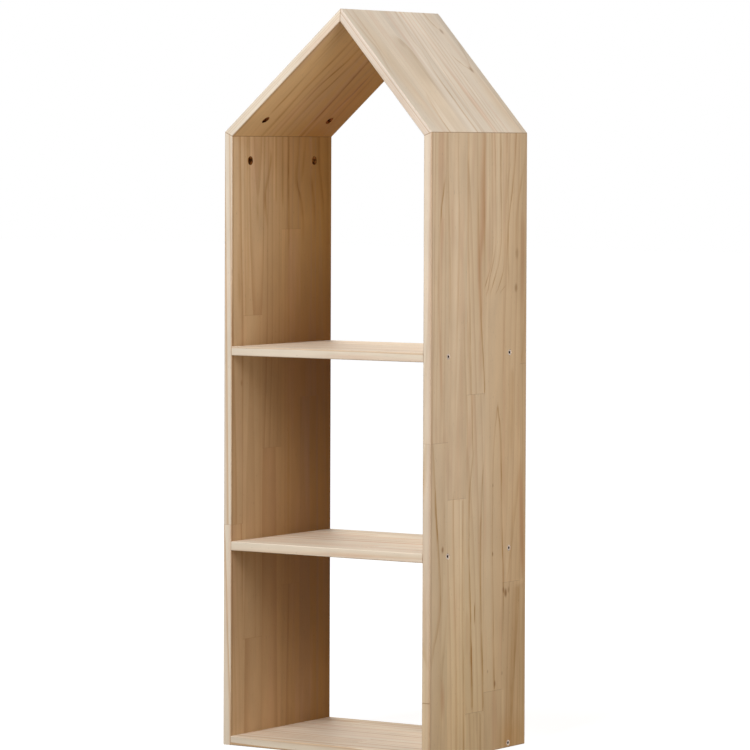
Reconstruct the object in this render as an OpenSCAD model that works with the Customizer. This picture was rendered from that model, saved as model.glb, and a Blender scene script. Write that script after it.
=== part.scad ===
// House-shaped open shelf in solid pine: two side panels, two roof boards and three shelves.
// The panels and the roof boards are mitred together, and bolts that bend across each eave
// are drawn tight by round eccentric cams. Screws through the panels hold the shelves.
// Origin: middle of the footprint on the floor. The front faces -Y and +Z is up.

/* [Overall size] */
// Width over the two side panels
shelf_width = 400; // [320:1:560]
// Depth of every board, front edge to back edge
shelf_depth = 290; // [220:1:380]
// Height of the outer edge where a side panel meets the roof
eave_height = 1000; // [880:1:1300]
// Rise of the ridge above the eaves
roof_rise = 198; // [160:1:250]
// Distance of the ridge to the right of the middle
ridge_offset = 26; // [0:1:50]

/* [Boards] */
// Thickness of every board
board_thick = 15; // [14:0.5:19]
// Clear height below the middle shelf, and again below the top shelf
bay_height = 303; // [240:1:360]
// Radius of the rounded long edges of the boards
edge_radius = 1.6; // [0.8:0.1:3]
// Width of the flat sanded on the outer corners of the roof and on the feet
corner_flat = 1.2; // [0.5:0.1:3]

/* [Fixing places] */
// Distance of every screw and cam from the front or back edge
fixing_inset = 52; // [35:1:80]
// Distance of a cam from the inner corner of its eave
cam_setback = 40; // [34:1:60]

/* [Shelf screws] */
// Overall length of a screw
screw_length = 50; // [40:1:70]
// Diameter over the screw's thread
screw_diameter = 6.3; // [5:0.1:7]
// Diameter of the countersunk head
screw_head = 10; // [9:0.1:11]
// Height of the head's cone
screw_cone = 2.6; // [1.5:0.1:4]
// Width across the flats of the hexagon socket
screw_socket = 4; // [3:0.5:5]
// Depth of the hexagon socket
socket_depth = 3; // [2:0.1:4]
// Depth of the screw head below the face of the panel
head_recess = 0.3; // [0:0.1:1]

/* [Eccentric cams] */
// Diameter of the hole for a cam
cam_bore = 15; // [14:0.1:18]
// Depth of that hole past the axis of the bolt
cam_reach = 5; // [4.8:0.1:5.5]
// Depth of the cam's face below the board's face
cam_recess = 0.5; // [0.1:0.1:1]
// Radius of the hollow inside the cam
cam_hollow = 5; // [4.4:0.1:5.4]
// Distance of the hollow's middle from the cam's axis
cam_throw = 0.9; // [0.5:0.1:1.2]
// Length of the arms of the cross slot
cross_length = 7; // [5:0.1:9]
// Width of the arms of the cross slot
cross_width = 1.5; // [1:0.1:2]
// Depth of the cross slot
cross_depth = 2.2; // [1.5:0.1:2.6]

/* [Connecting bolts] */
// Diameter of the drilled hole for a bolt arm
bolt_hole = 8; // [7.6:0.1:9]
// Diameter of a bolt arm and of its rounded hinge end
bolt_diameter = 7; // [6:0.1:7.2]
// Diameter of the ball head that the cam pulls on
ball_diameter = 6.8; // [6.2:0.1:7]
// Diameter of the neck behind the ball head
neck_diameter = 4.4; // [3.5:0.1:5]
// Thickness of the tongue in the hinge
tongue_thick = 2.2; // [1.6:0.1:2.6]
// Diameter of the hinge pin
pin_diameter = 2.4; // [1.8:0.1:2.8]
// Depth of the pin's ends below the round hinge end
pin_inset = 0.7; // [0.5:0.1:1]

/* [Ridge dowels] */
// Number of dowels along the ridge
dowel_count = 3; // [2:1:5]
// Diameter of a dowel
dowel_diameter = 6; // [5:0.1:6.4]
// Overall length of a dowel
dowel_length = 14; // [10:0.5:15]

/* [Hidden] */
$fn = 64;

// Clearances, each on one side of the piece
screw_clear = 0.1;
cam_clear = 0.2;
ball_clear = 0.3;
neck_clear = 0.3;
hinge_clear = 0.2;
pin_clear = 0.05;
dowel_clear = 0.1;
end_clear = 0.5;

// Colours
pine = [0.87, 0.76, 0.60];
beech = [0.78, 0.62, 0.44];
steel = [0.70, 0.70, 0.72];
zinc = [0.50, 0.51, 0.54];

// Slopes of the two roof boards, in degrees above the horizontal
left_pitch = atan2(roof_rise, shelf_width / 2 + ridge_offset);
right_pitch = atan2(roof_rise, shelf_width / 2 - ridge_offset);

// Corners of the outer outline, as [x, z]
foot_left = [-shelf_width / 2, 0];
foot_right = [shelf_width / 2, 0];
eave_left = [-shelf_width / 2, eave_height];
eave_right = [shelf_width / 2, eave_height];
ridge = [ridge_offset, eave_height + roof_rise];

// Directions along the boards and inward normals of their outer faces, as [x, z]
down = [0, -1];
up_left_slope = [cos(left_pitch), sin(left_pitch)];
up_right_slope = [-cos(right_pitch), sin(right_pitch)];
in_left = [1, 0];
in_right = [-1, 0];
in_left_slope = [sin(left_pitch), -cos(left_pitch)];
in_right_slope = [-sin(right_pitch), -cos(right_pitch)];

// The point at a given depth below both faces of a corner
function corner_at(p, n1, n2, deep) = p + deep * (n1 + n2) / (1 + n1 * n2);

inner_eave_left = corner_at(eave_left, in_left, in_left_slope, board_thick);
inner_eave_right = corner_at(eave_right, in_right, in_right_slope, board_thick);
inner_ridge = corner_at(ridge, in_left_slope, in_right_slope, board_thick);
hinge_left = corner_at(eave_left, in_left, in_left_slope, board_thick / 2);
hinge_right = corner_at(eave_right, in_right, in_right_slope, board_thick / 2);

// Length of a bolt arm from its hinge to the axis of its cam
arm_left = cam_setback + board_thick / 2 * tan((90 - left_pitch) / 2);
arm_right = cam_setback + board_thick / 2 * tan((90 - right_pitch) / 2);

// Heights of the undersides of the shelves
bottom_height = 0;
middle_height = board_thick + bay_height;
top_height = 2 * (board_thick + bay_height);
shelf_heights = [bottom_height, middle_height, top_height];
shelf_length = shelf_width - 2 * board_thick;

// Places of the fixings across the depth
fixing_y = shelf_depth / 2 - fixing_inset;
// How far a cut runs past the face that it opens
overrun = 1;

// Sizes of the cam and bolt that follow from the ones above
cam_radius = cam_bore / 2 - cam_clear;
ball_radius = ball_diameter / 2;
ball_back = ball_radius + ball_clear;
ball_offset = cam_hollow - cam_throw - ball_back;
hollow_half = ball_back + neck_clear;
arm_radius = bolt_diameter / 2;
sleeve_gap = cam_bore / 2 + end_clear;
rod_start = arm_radius + hinge_clear;
fork_slot = tongue_thick / 2 + hinge_clear;
tongue_radius = arm_radius - hinge_clear;
pin_length = bolt_diameter - 2 * pin_inset;
cheek_start = arm_radius / 2;

// Angles of the cam's slot for the neck, of its hole for the ball, and of its cross slot
slot_start = 140;
slot_sweep = 200;
entry_angle = slot_start + slot_sweep;
cross_turn = 45;

// Share of the ridge mitre, from the outside in, at which the dowels sit
dowel_seat = 2 / 3;

// Section of a board: thickness along X, depth along Y, long edges rounded
module board_section() {
    half_depth = shelf_depth / 2;
    translate([0, edge_radius - half_depth])
        square([board_thick, shelf_depth - 2 * edge_radius]);
    translate([edge_radius, -half_depth])
        square([board_thick - 2 * edge_radius, shelf_depth]);
    for (x = [edge_radius, board_thick - edge_radius], side = [-1, 1])
        translate([x, side * (half_depth - edge_radius)])
            circle(r = edge_radius);
}

// A board that starts at an outer corner and runs along an angle above +X.
// Its thickness lies to the right of that direction, or to the left if turned over.
module board_along(start, angle, length, turned = false) {
    translate([start[0], 0, start[1]])
        rotate([0, -angle, 0])
            rotate([turned ? 180 : 0, 0, 0])
                rotate([0, 90, 0])
                    translate([0, 0, -board_thick])
                        linear_extrude(length + 2 * board_thick)
                            board_section();
}

// A solid with a flat outline given as [x, z] points, wider than the boards are deep
module outline_prism(points) {
    rotate([90, 0, 0])
        linear_extrude(shelf_depth + 2 * overrun, center = true)
            polygon(points);
}

// Points of the small flat on an outer corner: on one board, and where it crosses the mitre
function flat_on(p, along) = p + corner_flat * along;
function flat_middle(p, along1, along2) = p + corner_flat * (along1 + along2) / 2;

// Puts a fixing at both places across the depth
module front_and_back() {
    for (side = [-1, 1])
        translate([0, side * fixing_y, 0])
            children();
}

// Frame of a bolt arm: +X runs from the hinge along the board, +Z points at its inner face
module arm_frame(hinge, angle, turned) {
    translate([hinge[0], 0, hinge[1]])
        rotate([0, -angle, 0])
            rotate([turned ? 180 : 0, 0, 0])
                front_and_back()
                    children();
}

module left_side_frame() {
    arm_frame(hinge_left, -90, false) children();
}

module left_roof_frame() {
    arm_frame(hinge_left, left_pitch, true) children();
}

module right_side_frame() {
    arm_frame(hinge_right, -90, true) children();
}

module right_roof_frame() {
    arm_frame(hinge_right, 180 - right_pitch, false) children();
}

// Drilling for one bolt arm and its cam
module arm_drilling(length) {
    translate([-bolt_hole, 0, 0])
        rotate([0, 90, 0])
            cylinder(d = bolt_hole, h = length + bolt_hole);
    translate([length, 0, -cam_reach])
        cylinder(d = cam_bore, h = cam_reach + board_thick / 2 + overrun);
}

// Axis frame of the screws at one end of a shelf: +Z points out of the panel's outer face
module screw_frame(height, side) {
    translate([side * shelf_width / 2, 0, height + board_thick / 2])
        front_and_back()
            rotate([0, side * 90, 0])
                children();
}

// Drilling for one screw, through the panel and into the end of the shelf
module screw_drilling() {
    hole = screw_diameter + 2 * screw_clear;
    head = screw_head + 2 * screw_clear;
    translate([0, 0, -screw_length - head_recess - end_clear])
        cylinder(d = hole, h = screw_length + head_recess + end_clear + overrun);
    translate([0, 0, -head_recess - screw_cone])
        cylinder(d1 = hole, d2 = head, h = screw_cone);
    translate([0, 0, -head_recess])
        cylinder(d = head, h = head_recess + overrun);
}

module side_panel(eave, foot, inner_eave, inward, slope, turned) {
    outline = [
        foot + [0, corner_flat],
        foot + corner_flat * inward,
        foot + board_thick * inward,
        inner_eave,
        flat_middle(eave, down, slope),
        flat_on(eave, down)
    ];
    intersection() {
        board_along(foot, 90, eave_height, turned);
        outline_prism(outline);
    }
}

module side_panel_left() {
    color(pine)
        difference() {
            side_panel(eave_left, foot_left, inner_eave_left, in_left, up_left_slope, false);
            left_side_frame() arm_drilling(arm_left);
            for (height = shelf_heights)
                screw_frame(height, -1) screw_drilling();
        }
}

module side_panel_right() {
    color(pine)
        difference() {
            side_panel(eave_right, foot_right, inner_eave_right, in_right, up_right_slope, true);
            right_side_frame() arm_drilling(arm_right);
            for (height = shelf_heights)
                screw_frame(height, 1) screw_drilling();
        }
}

// Row of dowels across the ridge, with a clearance round them and at each end
module dowel_row(clear, end) {
    across = (left_pitch - right_pitch) / 2;
    seat = ridge + dowel_seat * (inner_ridge - ridge);
    for (i = [0 : dowel_count - 1])
        translate([seat[0], fixing_y * (2 * i / (dowel_count - 1) - 1), seat[1]])
            rotate([0, 90 - across, 0])
                cylinder(d = dowel_diameter + 2 * clear, h = dowel_length + 2 * end, center = true);
}

module roof_board_left() {
    outline = [
        inner_eave_left,
        inner_ridge,
        flat_middle(ridge, -up_left_slope, -up_right_slope),
        flat_on(ridge, -up_left_slope),
        flat_on(eave_left, up_left_slope),
        flat_middle(eave_left, down, up_left_slope)
    ];
    color(pine)
        difference() {
            intersection() {
                board_along(eave_left, left_pitch, norm(ridge - eave_left), false);
                outline_prism(outline);
            }
            left_roof_frame() arm_drilling(arm_left);
            dowel_row(dowel_clear, end_clear);
        }
}

module roof_board_right() {
    outline = [
        inner_eave_right,
        inner_ridge,
        flat_middle(ridge, -up_left_slope, -up_right_slope),
        flat_on(ridge, -up_right_slope),
        flat_on(eave_right, up_right_slope),
        flat_middle(eave_right, down, up_right_slope)
    ];
    color(pine)
        difference() {
            intersection() {
                board_along(eave_right, 180 - right_pitch, norm(ridge - eave_right), true);
                outline_prism(outline);
            }
            right_roof_frame() arm_drilling(arm_right);
            dowel_row(dowel_clear, end_clear);
        }
}

// One shelf between the panels, drilled for the screws in its two ends
module shelf(height) {
    color(pine)
        difference() {
            translate([-shelf_length / 2, 0, height])
                rotate([0, 90, 0])
                    translate([-board_thick, 0, 0])
                        linear_extrude(shelf_length)
                            board_section();
            for (side = [-1, 1])
                screw_frame(height, side) screw_drilling();
        }
}

module bottom_shelf() {
    shelf(bottom_height);
}

module middle_shelf() {
    shelf(middle_height);
}

module top_shelf() {
    shelf(top_height);
}

// One connecting screw: countersunk head with a hexagon socket, plain body, pointed tip
module connecting_screw() {
    tip = screw_diameter / 2;
    color(steel)
        translate([0, 0, -head_recess])
            difference() {
                union() {
                    translate([0, 0, -screw_cone])
                        cylinder(d1 = screw_diameter, d2 = screw_head, h = screw_cone);
                    translate([0, 0, tip - screw_length])
                        cylinder(d = screw_diameter, h = screw_length - tip - screw_cone);
                    translate([0, 0, -screw_length])
                        cylinder(d1 = tip, d2 = screw_diameter, h = tip);
                }
                translate([0, 0, -socket_depth])
                    cylinder(d = screw_socket / cos(30), h = socket_depth + overrun, $fn = 6);
            }
}

// One eccentric cam, turned to its locked place. The bolt comes in along +X from -X.
module cam() {
    face = board_thick / 2 - cam_recess;
    color(zinc)
        difference() {
            translate([0, 0, -cam_reach])
                cylinder(r = cam_radius, h = cam_reach + face);
            translate([cam_throw, 0, -hollow_half])
                cylinder(r = cam_hollow, h = 2 * hollow_half);
            rotate([0, 0, slot_start])
                rotate_extrude(angle = slot_sweep)
                    translate([cam_hollow / 2, -neck_diameter / 2 - neck_clear])
                        square([cam_radius, neck_diameter + 2 * neck_clear]);
            rotate([0, 0, entry_angle])
                rotate([0, 90, 0])
                    cylinder(r = ball_back, h = cam_bore);
            for (turn = [cross_turn, cross_turn + 90])
                rotate([0, 0, turn])
                    translate([-cross_length / 2, -cross_width / 2, face - cross_depth])
                        cube([cross_length, cross_width, cross_depth + overrun]);
        }
}

// Rod, neck and ball head of a bolt arm, from a start on its axis to the cam
module arm_rod(start, length) {
    rotate([0, 90, 0]) {
        translate([0, 0, start])
            cylinder(r = arm_radius, h = length - sleeve_gap - start);
        translate([0, 0, length - sleeve_gap])
            cylinder(d = neck_diameter, h = sleeve_gap - ball_offset);
    }
    translate([length - ball_offset, 0, 0])
        sphere(r = ball_radius);
}

module pin_hole() {
    rotate([90, 0, 0])
        cylinder(d = pin_diameter + 2 * pin_clear, h = 2 * bolt_hole, center = true);
}

// Arm in the side panel: a flat tongue with a round end, drilled for the pin
module tongue_arm(length) {
    color(steel)
        difference() {
            union() {
                arm_rod(rod_start, length);
                rotate([90, 0, 0])
                    cylinder(r = tongue_radius, h = tongue_thick, center = true);
                translate([0, -tongue_thick / 2, -tongue_radius])
                    cube([rod_start + overrun, tongue_thick, 2 * tongue_radius]);
            }
            pin_hole();
        }
}

// Arm in the roof board: a fork with rounded cheeks, drilled for the pin
module fork_arm(length) {
    color(steel)
        difference() {
            union() {
                arm_rod(cheek_start, length);
                sphere(r = arm_radius);
            }
            translate([-bolt_hole, -fork_slot, -bolt_hole / 2])
                cube([bolt_hole + rod_start, 2 * fork_slot, bolt_hole]);
            pin_hole();
        }
}

module hinge_pin() {
    color(steel)
        rotate([90, 0, 0])
            cylinder(d = pin_diameter, h = pin_length, center = true);
}

module bottom_shelf_screws_left() {
    screw_frame(bottom_height, -1) connecting_screw();
}

module bottom_shelf_screws_right() {
    screw_frame(bottom_height, 1) connecting_screw();
}

module middle_shelf_screws_left() {
    screw_frame(middle_height, -1) connecting_screw();
}

module middle_shelf_screws_right() {
    screw_frame(middle_height, 1) connecting_screw();
}

module top_shelf_screws_left() {
    screw_frame(top_height, -1) connecting_screw();
}

module top_shelf_screws_right() {
    screw_frame(top_height, 1) connecting_screw();
}

module side_cams_left() {
    left_side_frame() translate([arm_left, 0, 0]) cam();
}

module side_cams_right() {
    right_side_frame() translate([arm_right, 0, 0]) cam();
}

module roof_cams_left() {
    left_roof_frame() translate([arm_left, 0, 0]) cam();
}

module roof_cams_right() {
    right_roof_frame() translate([arm_right, 0, 0]) cam();
}

module side_bolt_arms_left() {
    left_side_frame() tongue_arm(arm_left);
}

module side_bolt_arms_right() {
    right_side_frame() tongue_arm(arm_right);
}

module roof_bolt_arms_left() {
    left_roof_frame() fork_arm(arm_left);
}

module roof_bolt_arms_right() {
    right_roof_frame() fork_arm(arm_right);
}

module bolt_pins_left() {
    left_side_frame() hinge_pin();
}

module bolt_pins_right() {
    right_side_frame() hinge_pin();
}

module ridge_dowels() {
    color(beech)
        dowel_row(0, 0);
}

side_panel_left();
side_panel_right();
roof_board_left();
roof_board_right();
bottom_shelf();
middle_shelf();
top_shelf();
bottom_shelf_screws_left();
bottom_shelf_screws_right();
middle_shelf_screws_left();
middle_shelf_screws_right();
top_shelf_screws_left();
top_shelf_screws_right();
side_cams_left();
side_cams_right();
roof_cams_left();
roof_cams_right();
side_bolt_arms_left();
side_bolt_arms_right();
roof_bolt_arms_left();
roof_bolt_arms_right();
bolt_pins_left();
bolt_pins_right();
ridge_dowels();
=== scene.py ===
# %% [markdown]
# # A house-shaped shelf in solid pine
# The shelf is seven boards of edge-glued pine and thirty-five small fixings. The drawing
# already fixes every size, so this lesson is about the looks: how sawn pine gets its lines,
# how plated steel and cast zinc catch the light, and how a plain studio is set up.
# Lengths are in metres, as Blender has them. Inside the wood they are in millimetres.

# %% Load the frame
import math
from types import SimpleNamespace

import bpy
from mathutils import Matrix, Vector


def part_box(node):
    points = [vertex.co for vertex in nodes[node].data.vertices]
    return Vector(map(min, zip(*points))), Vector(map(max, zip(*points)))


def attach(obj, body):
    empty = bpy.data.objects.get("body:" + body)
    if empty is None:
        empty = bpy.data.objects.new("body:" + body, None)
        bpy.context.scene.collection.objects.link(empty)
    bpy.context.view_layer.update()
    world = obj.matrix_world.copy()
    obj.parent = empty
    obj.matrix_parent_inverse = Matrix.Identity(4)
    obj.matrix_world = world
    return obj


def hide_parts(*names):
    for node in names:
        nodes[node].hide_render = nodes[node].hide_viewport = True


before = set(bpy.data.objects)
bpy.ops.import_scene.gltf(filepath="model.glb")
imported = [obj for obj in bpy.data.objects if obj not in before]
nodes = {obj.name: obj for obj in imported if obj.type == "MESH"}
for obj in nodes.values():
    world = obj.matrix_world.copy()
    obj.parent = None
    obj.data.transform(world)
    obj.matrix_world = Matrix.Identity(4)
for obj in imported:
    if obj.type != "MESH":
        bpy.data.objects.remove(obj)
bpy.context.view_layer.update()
print("pieces in the frame:", len(nodes))

# %% [markdown]
# ## The camera
# The photographer stood about seven metres away with a long lens, a little below the
# height of the eaves, and saw the right side of the shelf. A long lens keeps the upright
# edges nearly parallel, and a small shift keeps them from leaning. The turn, the dip and
# the small roll were found by matching the corners of the shelf to the picture.

# %% Camera
PICTURE = 750
FOCAL_PIXELS = 4296.51
SENSOR = 36.0
STAND = (3.85037, -5.85497, 0.97298)
TURN, DIP, ROLL = 0.58194, 0.02332, 0.00351
LENS_SHIFT = -0.16768


def aim(turn, dip, roll):
    """Camera axes as a matrix: it looks along +Y when turn, dip and roll are zero."""
    forward = Vector((-math.sin(turn) * math.cos(dip), math.cos(turn) * math.cos(dip), -math.sin(dip)))
    right = Vector((math.cos(turn), math.sin(turn), 0.0))
    up = right.cross(forward)
    tilted_right = math.cos(roll) * right + math.sin(roll) * up
    tilted_up = math.cos(roll) * up - math.sin(roll) * right
    return Matrix((tilted_right, tilted_up, -forward)).transposed()


camera = bpy.data.objects.new("camera", bpy.data.cameras.new("camera"))
bpy.context.scene.collection.objects.link(camera)
camera.data.sensor_width = SENSOR
camera.data.lens = FOCAL_PIXELS * SENSOR / PICTURE
camera.data.shift_y = LENS_SHIFT
camera.matrix_world = Matrix.Translation(STAND) @ aim(TURN, DIP, ROLL).to_4x4()
bpy.context.scene.camera = camera
bpy.context.scene.view_settings.view_transform = "Standard"
print("lens:", round(camera.data.lens, 1), "mm")

# %% [markdown]
# ## Sums that become nodes
# A shader is a network of small nodes, and a page of them is hard to read. So one class
# wraps a socket and turns Python sums into Math nodes: `1 - mask * 0.5` adds two of them.
# Its reflected forms let a plain number stand first.

# %% Wire


class Wire:
    """One value in a node tree. A sum written with it adds a Math node."""

    def __init__(self, tree, socket):
        self.tree, self.socket = tree, socket

    def math(self, operation, *others):
        return self.tree.add("ShaderNodeMath", {"operation": operation}, self, *others)

    def out(self, name):
        """Another output of the node that this value comes from."""
        return Wire(self.tree, self.socket.node.outputs[name])

    def __add__(self, other):
        return self.math("ADD", other)

    def __mul__(self, other):
        return self.math("MULTIPLY", other)

    def __sub__(self, other):
        return self.math("SUBTRACT", other)

    def __truediv__(self, other):
        return self.math("DIVIDE", other)

    def __rsub__(self, other):
        return self.tree.add("ShaderNodeMath", {"operation": "SUBTRACT"}, other, self)

    def __rtruediv__(self, other):
        return self.tree.add("ShaderNodeMath", {"operation": "DIVIDE"}, other, self)

    def __gt__(self, other):
        return self.math("GREATER_THAN", other)

    def __lt__(self, other):
        return self.math("LESS_THAN", other)

    def __neg__(self):
        return self * -1

    def __abs__(self):
        return self.math("ABSOLUTE")

    __radd__ = __add__
    __rmul__ = __mul__


print("a wire knows", sum(name.startswith("__") for name in vars(Wire)), "special names")

# %% [markdown]
# ## One way to add a node
# Every other node comes from one method, which takes the node's type, its settings and its
# inputs. It links an input that is a wire, and sets one that is a number or a colour. A few
# short names on top of it stand for what wood needs most: an eased step, a noise, a blend.
# The same two classes serve the Geometry Nodes of the screws further down.

# %% Tree


class Tree:
    """A node tree that is filled from Python."""

    def __init__(self, tree):
        self.tree = tree

    def add(self, kind, settings=None, *values, **named):
        """A node of that kind. Settings come first, then its inputs in order or by name."""
        node = self.tree.nodes.new(kind)
        for key, value in (settings or {}).items():
            if key == "stops":
                fill_ramp(node.color_ramp, value)
            elif key == "interpolation":
                node.color_ramp.interpolation = value
            else:
                setattr(node, key, value)
        sockets = [socket for socket in node.inputs if socket.enabled]
        by_name = {socket.name.replace(" ", "_"): socket for socket in reversed(sockets)}
        inputs = list(zip(sockets, values)) + [(by_name[key], value) for key, value in named.items()]
        for socket, value in inputs:
            if isinstance(value, Wire):
                self.tree.links.new(value.socket, socket)
            elif value is not None:
                socket.default_value = value
        outputs = [socket for socket in node.outputs if socket.enabled]
        return Wire(self, outputs[0]) if outputs else node

    def vector(self, x, y, z):
        return self.add("ShaderNodeCombineXYZ", None, x, y, z)

    def dot(self, place, axis):
        """How far a place lies along an axis."""
        return self.add("ShaderNodeVectorMath", {"operation": "DOT_PRODUCT"}, place, axis)

    def channels(self, colour):
        """The red, the green and the blue of a colour."""
        split = self.add("ShaderNodeSeparateColor", None, colour)
        return [split.out(name) for name in ("Red", "Green", "Blue")]

    def smooth(self, value, low, high, at_low=0.0, at_high=1.0):
        """Eases from one value to another between low and high."""
        settings = {"interpolation_type": "SMOOTHSTEP"}
        return self.add("ShaderNodeMapRange", settings, value, low, high, at_low, at_high)

    def noise(self, where, detail=2.0, scale=1.0):
        return self.add("ShaderNodeTexNoise", None, Vector=where, Scale=scale, Detail=detail)

    def blend(self, share, first, second, how="MIX"):
        """Mixes two colours by a share."""
        return self.add("ShaderNodeMix", {"data_type": "RGBA", "blend_type": how}, share, first, second)


def fill_ramp(ramp, stops):
    """Sets a colour ramp's stops, each (place, (red, green, blue))."""
    while len(ramp.elements) > 1:
        ramp.elements.remove(ramp.elements[-1])
    ramp.elements[0].position = stops[0][0]
    for index, (place, colour) in enumerate(stops):
        element = ramp.elements[0] if index == 0 else ramp.elements.new(place)
        element.color = (*colour, 1.0)


print("the tree's own words:", ", ".join(name for name in vars(Tree) if not name.startswith("_")))

# %% [markdown]
# ## Finishes, and colours as light
# A finish is a material whose tree starts empty. A colour picked on a screen is first turned
# into the light that it stands for, because a renderer sums light and not screen values.

# %% Finishes and colours


def new_finish(name):
    """A material with an empty tree, and the tree."""
    material = bpy.data.materials.new(name)
    material.use_nodes = True
    material.node_tree.nodes.clear()
    return material, Tree(material.node_tree)


def finish_with(tree, shader):
    tree.add("ShaderNodeOutputMaterial", None, Surface=shader)


def linear(*screen):
    """A colour picked on a screen, 0 to 255, as the light that it stands for."""
    shares = [value / 255 for value in screen]
    return tuple(c / 12.92 if c <= 0.04045 else ((c + 0.055) / 1.055) ** 2.4 for c in shares)


def paint(obj, material):
    """Puts one material on a piece in place of those it has."""
    for slot in obj.material_slots:
        slot.material = material
    if not obj.material_slots:
        obj.data.materials.append(material)


print("middle grey on a screen is this much light:", round(linear(128)[0], 3))

# %% [markdown]
# ## How a pine panel gets its pattern
# A tree adds a ring each year: pale, soft wood in spring and a thin tan line in summer,
# sharp on its outer side. A stave sawn from the log shows these rings cut by its faces.
# Where the saw ran beside the heart the lines are even stripes. Where it ran flat to the
# rings they open into tall arches. The panel is made of such staves, about 55 mm wide,
# glued edge to edge and finger-jointed end to end, so the pattern breaks at every joint.
#
# A picture of wood would stop at the edges. This wood runs through the board, so the edges
# show it too. The colours come in two kinds: some are laid over what is there, and some
# multiply it, as a thin coat of stain does.

# %% Wood sizes, in millimetres
MM = 1000.0
DEPTH = 290.0
THICK = 15.0
STAVE = 55.0
STAVES = 6
JOINTS = 3
PAST_THE_END = 5000.0
EVERYWHERE = 9000.0
SKIN = 1.5

# %% Wood colours
PALE = linear(231, 216, 194)  # ground of most boards
PALE_PANEL = linear(240, 220, 196)  # ground of the right panel
PALE_ROOF = linear(239, 226, 209)  # ground of the right slope
TAN = linear(203, 166, 126)  # summer wood of the chance rings
BROWN = linear(158, 116, 76)  # knots
ROSE = linear(219, 181, 152)  # rosy clouds and blushes
# The next colour is glue at the joints, and painted shade in the gaps of mitres and along long arrises.
GLUE_AND_SHADE = linear(150, 112, 76)  # glue lines and worn arrises
# The next two grounds are painted shade: the warm light that has bounced about inside the bays, the second
# for the back of them.
WARM_SHADE = linear(228, 192, 140)  # warm ground of the inner faces
DEEP_WARM_SHADE = linear(206, 159, 90)  # warmer still, towards their back
SPRING = (1.10, 1.13, 1.17)  # times this: pale wood between drawn lines
SUMMER = (0.73, 0.59, 0.40)  # times this: a drawn line
RESIN = (0.73, 0.60, 0.42)  # times this again: where it is strongest
# The next tint serves both: patches of yellowed tone, and painted shade towards the back and foot of the
# right panel and towards the back of the left slope's underside.
AGE_AND_SHADE = (0.90, 0.79, 0.63)  # times this: yellowed and darker
WORN = (0.89, 0.905, 0.89)  # times this: greyed by handling
# The next tint darkens the front edge towards its outer arris and makes it rosier.
ROSY_DARKER = (0.83, 0.75, 0.71)  # times this: rosy by handling
# The next tint is painted shade along a long arris.
ARRIS_SHADE = (0.78, 0.73, 0.69)  # times this: a long arris
DUSK = (0.66, 0.58, 0.50)  # times this: shaded wood
DEEP = (0.40, 0.29, 0.15)  # times this: deeply shaded wood
DIM = (0.91, 0.91, 0.91)  # times this: a little darker
WARM = (1.0, 0.98, 0.88)  # times this: less blue
BRIGHT = (1.07, 1.07, 1.08)  # times this: a little paler
# Painted light: the next tint paints the light that reaches the underside of the left slope near the ridge.
PAINTED_LIGHT = (1.18, 1.20, 1.16)  # times this: clearly paler
SEAM = (0.55, 0.45, 0.36)  # times this: a joint on the front edge
print("pale pine as light:", [round(c, 3) for c in PALE])

# %% [markdown]
# ## Where a point lies in its board
# Every pattern below asks the same three questions: how far across the board a point is,
# how far along it, and how deep below its face. Each answer is one dot product with an
# axis of the board, so a sloping roof board needs no turning of its pattern.

# %% Places in a board


def grain_place(tree, along, deep, start):
    """Where a point lies in its board: across, along and below the face, in millimetres."""
    place = tree.add("ShaderNodeTexCoord").out("Object")

    def measure(axis, zero):
        return tree.dot(place, tuple(a * MM for a in axis)) - zero

    across = measure((0, 1, 0), -DEPTH / 2)
    run = measure(along, Vector(start).dot(Vector(along)) * MM)
    under = measure(deep, Vector(start).dot(Vector(deep)) * MM)
    return across, run, under


def end_distance(tree, normal, point):
    """Distance from the plane of a mitre, in millimetres."""
    place = tree.add("ShaderNodeTexCoord").out("Object")
    level = tree.dot(place, tuple(n * MM for n in normal))
    return abs(level - Vector(normal).dot(point) * MM)


def close_to(tree, *distances, reach):
    """One where all the distances, in millimetres, are near zero."""
    widest = distances[0]
    for distance in distances[1:]:
        widest = widest.math("MAXIMUM", distance)
    return tree.smooth(widest, reach * 0.3, reach, 1.0, 0.0)


print("a board is", DEPTH, "mm across and", THICK, "mm thick")

# %% [markdown]
# ## Staves and their joints
# The shader follows the saw. It finds which stave a point is in, and which length of that
# stave. A colour ramp holds the heights of three finger joints for each stave, one in each
# of its three colours: a small table that a shader can read. Each length could be a solid of
# its own, but on the real shelf they are glued and planed as one board, and the drawing has
# them as one. Two slow noises make the grain wander, differently in each length.

# %% Staves and finger joints
DRIFT_WIDE = 16
RIPPLE_WIDE = 3.0


def stave_cells(tree, across, along, length, offset, joints):
    """Which stave, and which length of it, a point is in, and how near the joints are."""
    row = (across + offset) / STAVE
    stave = row.math("FLOOR")
    shares = [tuple(height / length for height in heights) for heights in joints]
    stops = [(number / STAVES, share) for number, share in enumerate(shares)]
    settings = {"stops": stops, "interpolation": "CONSTANT"}
    ramp = tree.add("ShaderNodeValToRGB", settings, (stave + 0.5) / STAVES)
    cuts = [share * length for share in tree.channels(ramp)]
    piece = sum((along > cut for cut in cuts[1:]), along > cuts[0])
    near = abs(along - cuts[0])
    for cut in cuts[1:]:
        near = near.math("MINIMUM", abs(along - cut))
    seam = abs(row - stave - 0.5) * -STAVE + STAVE / 2
    return stave, piece, near, seam


def streaks(tree, spot, wide, long, detail, shift=None):
    """A noise drawn out along the grain: about so wide and so long, in millimetres."""
    aside = spot.across / wide
    if shift is not None:
        aside = aside + shift
    return tree.noise(tree.vector(aside, spot.run / long, spot.under / wide), detail)


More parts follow.
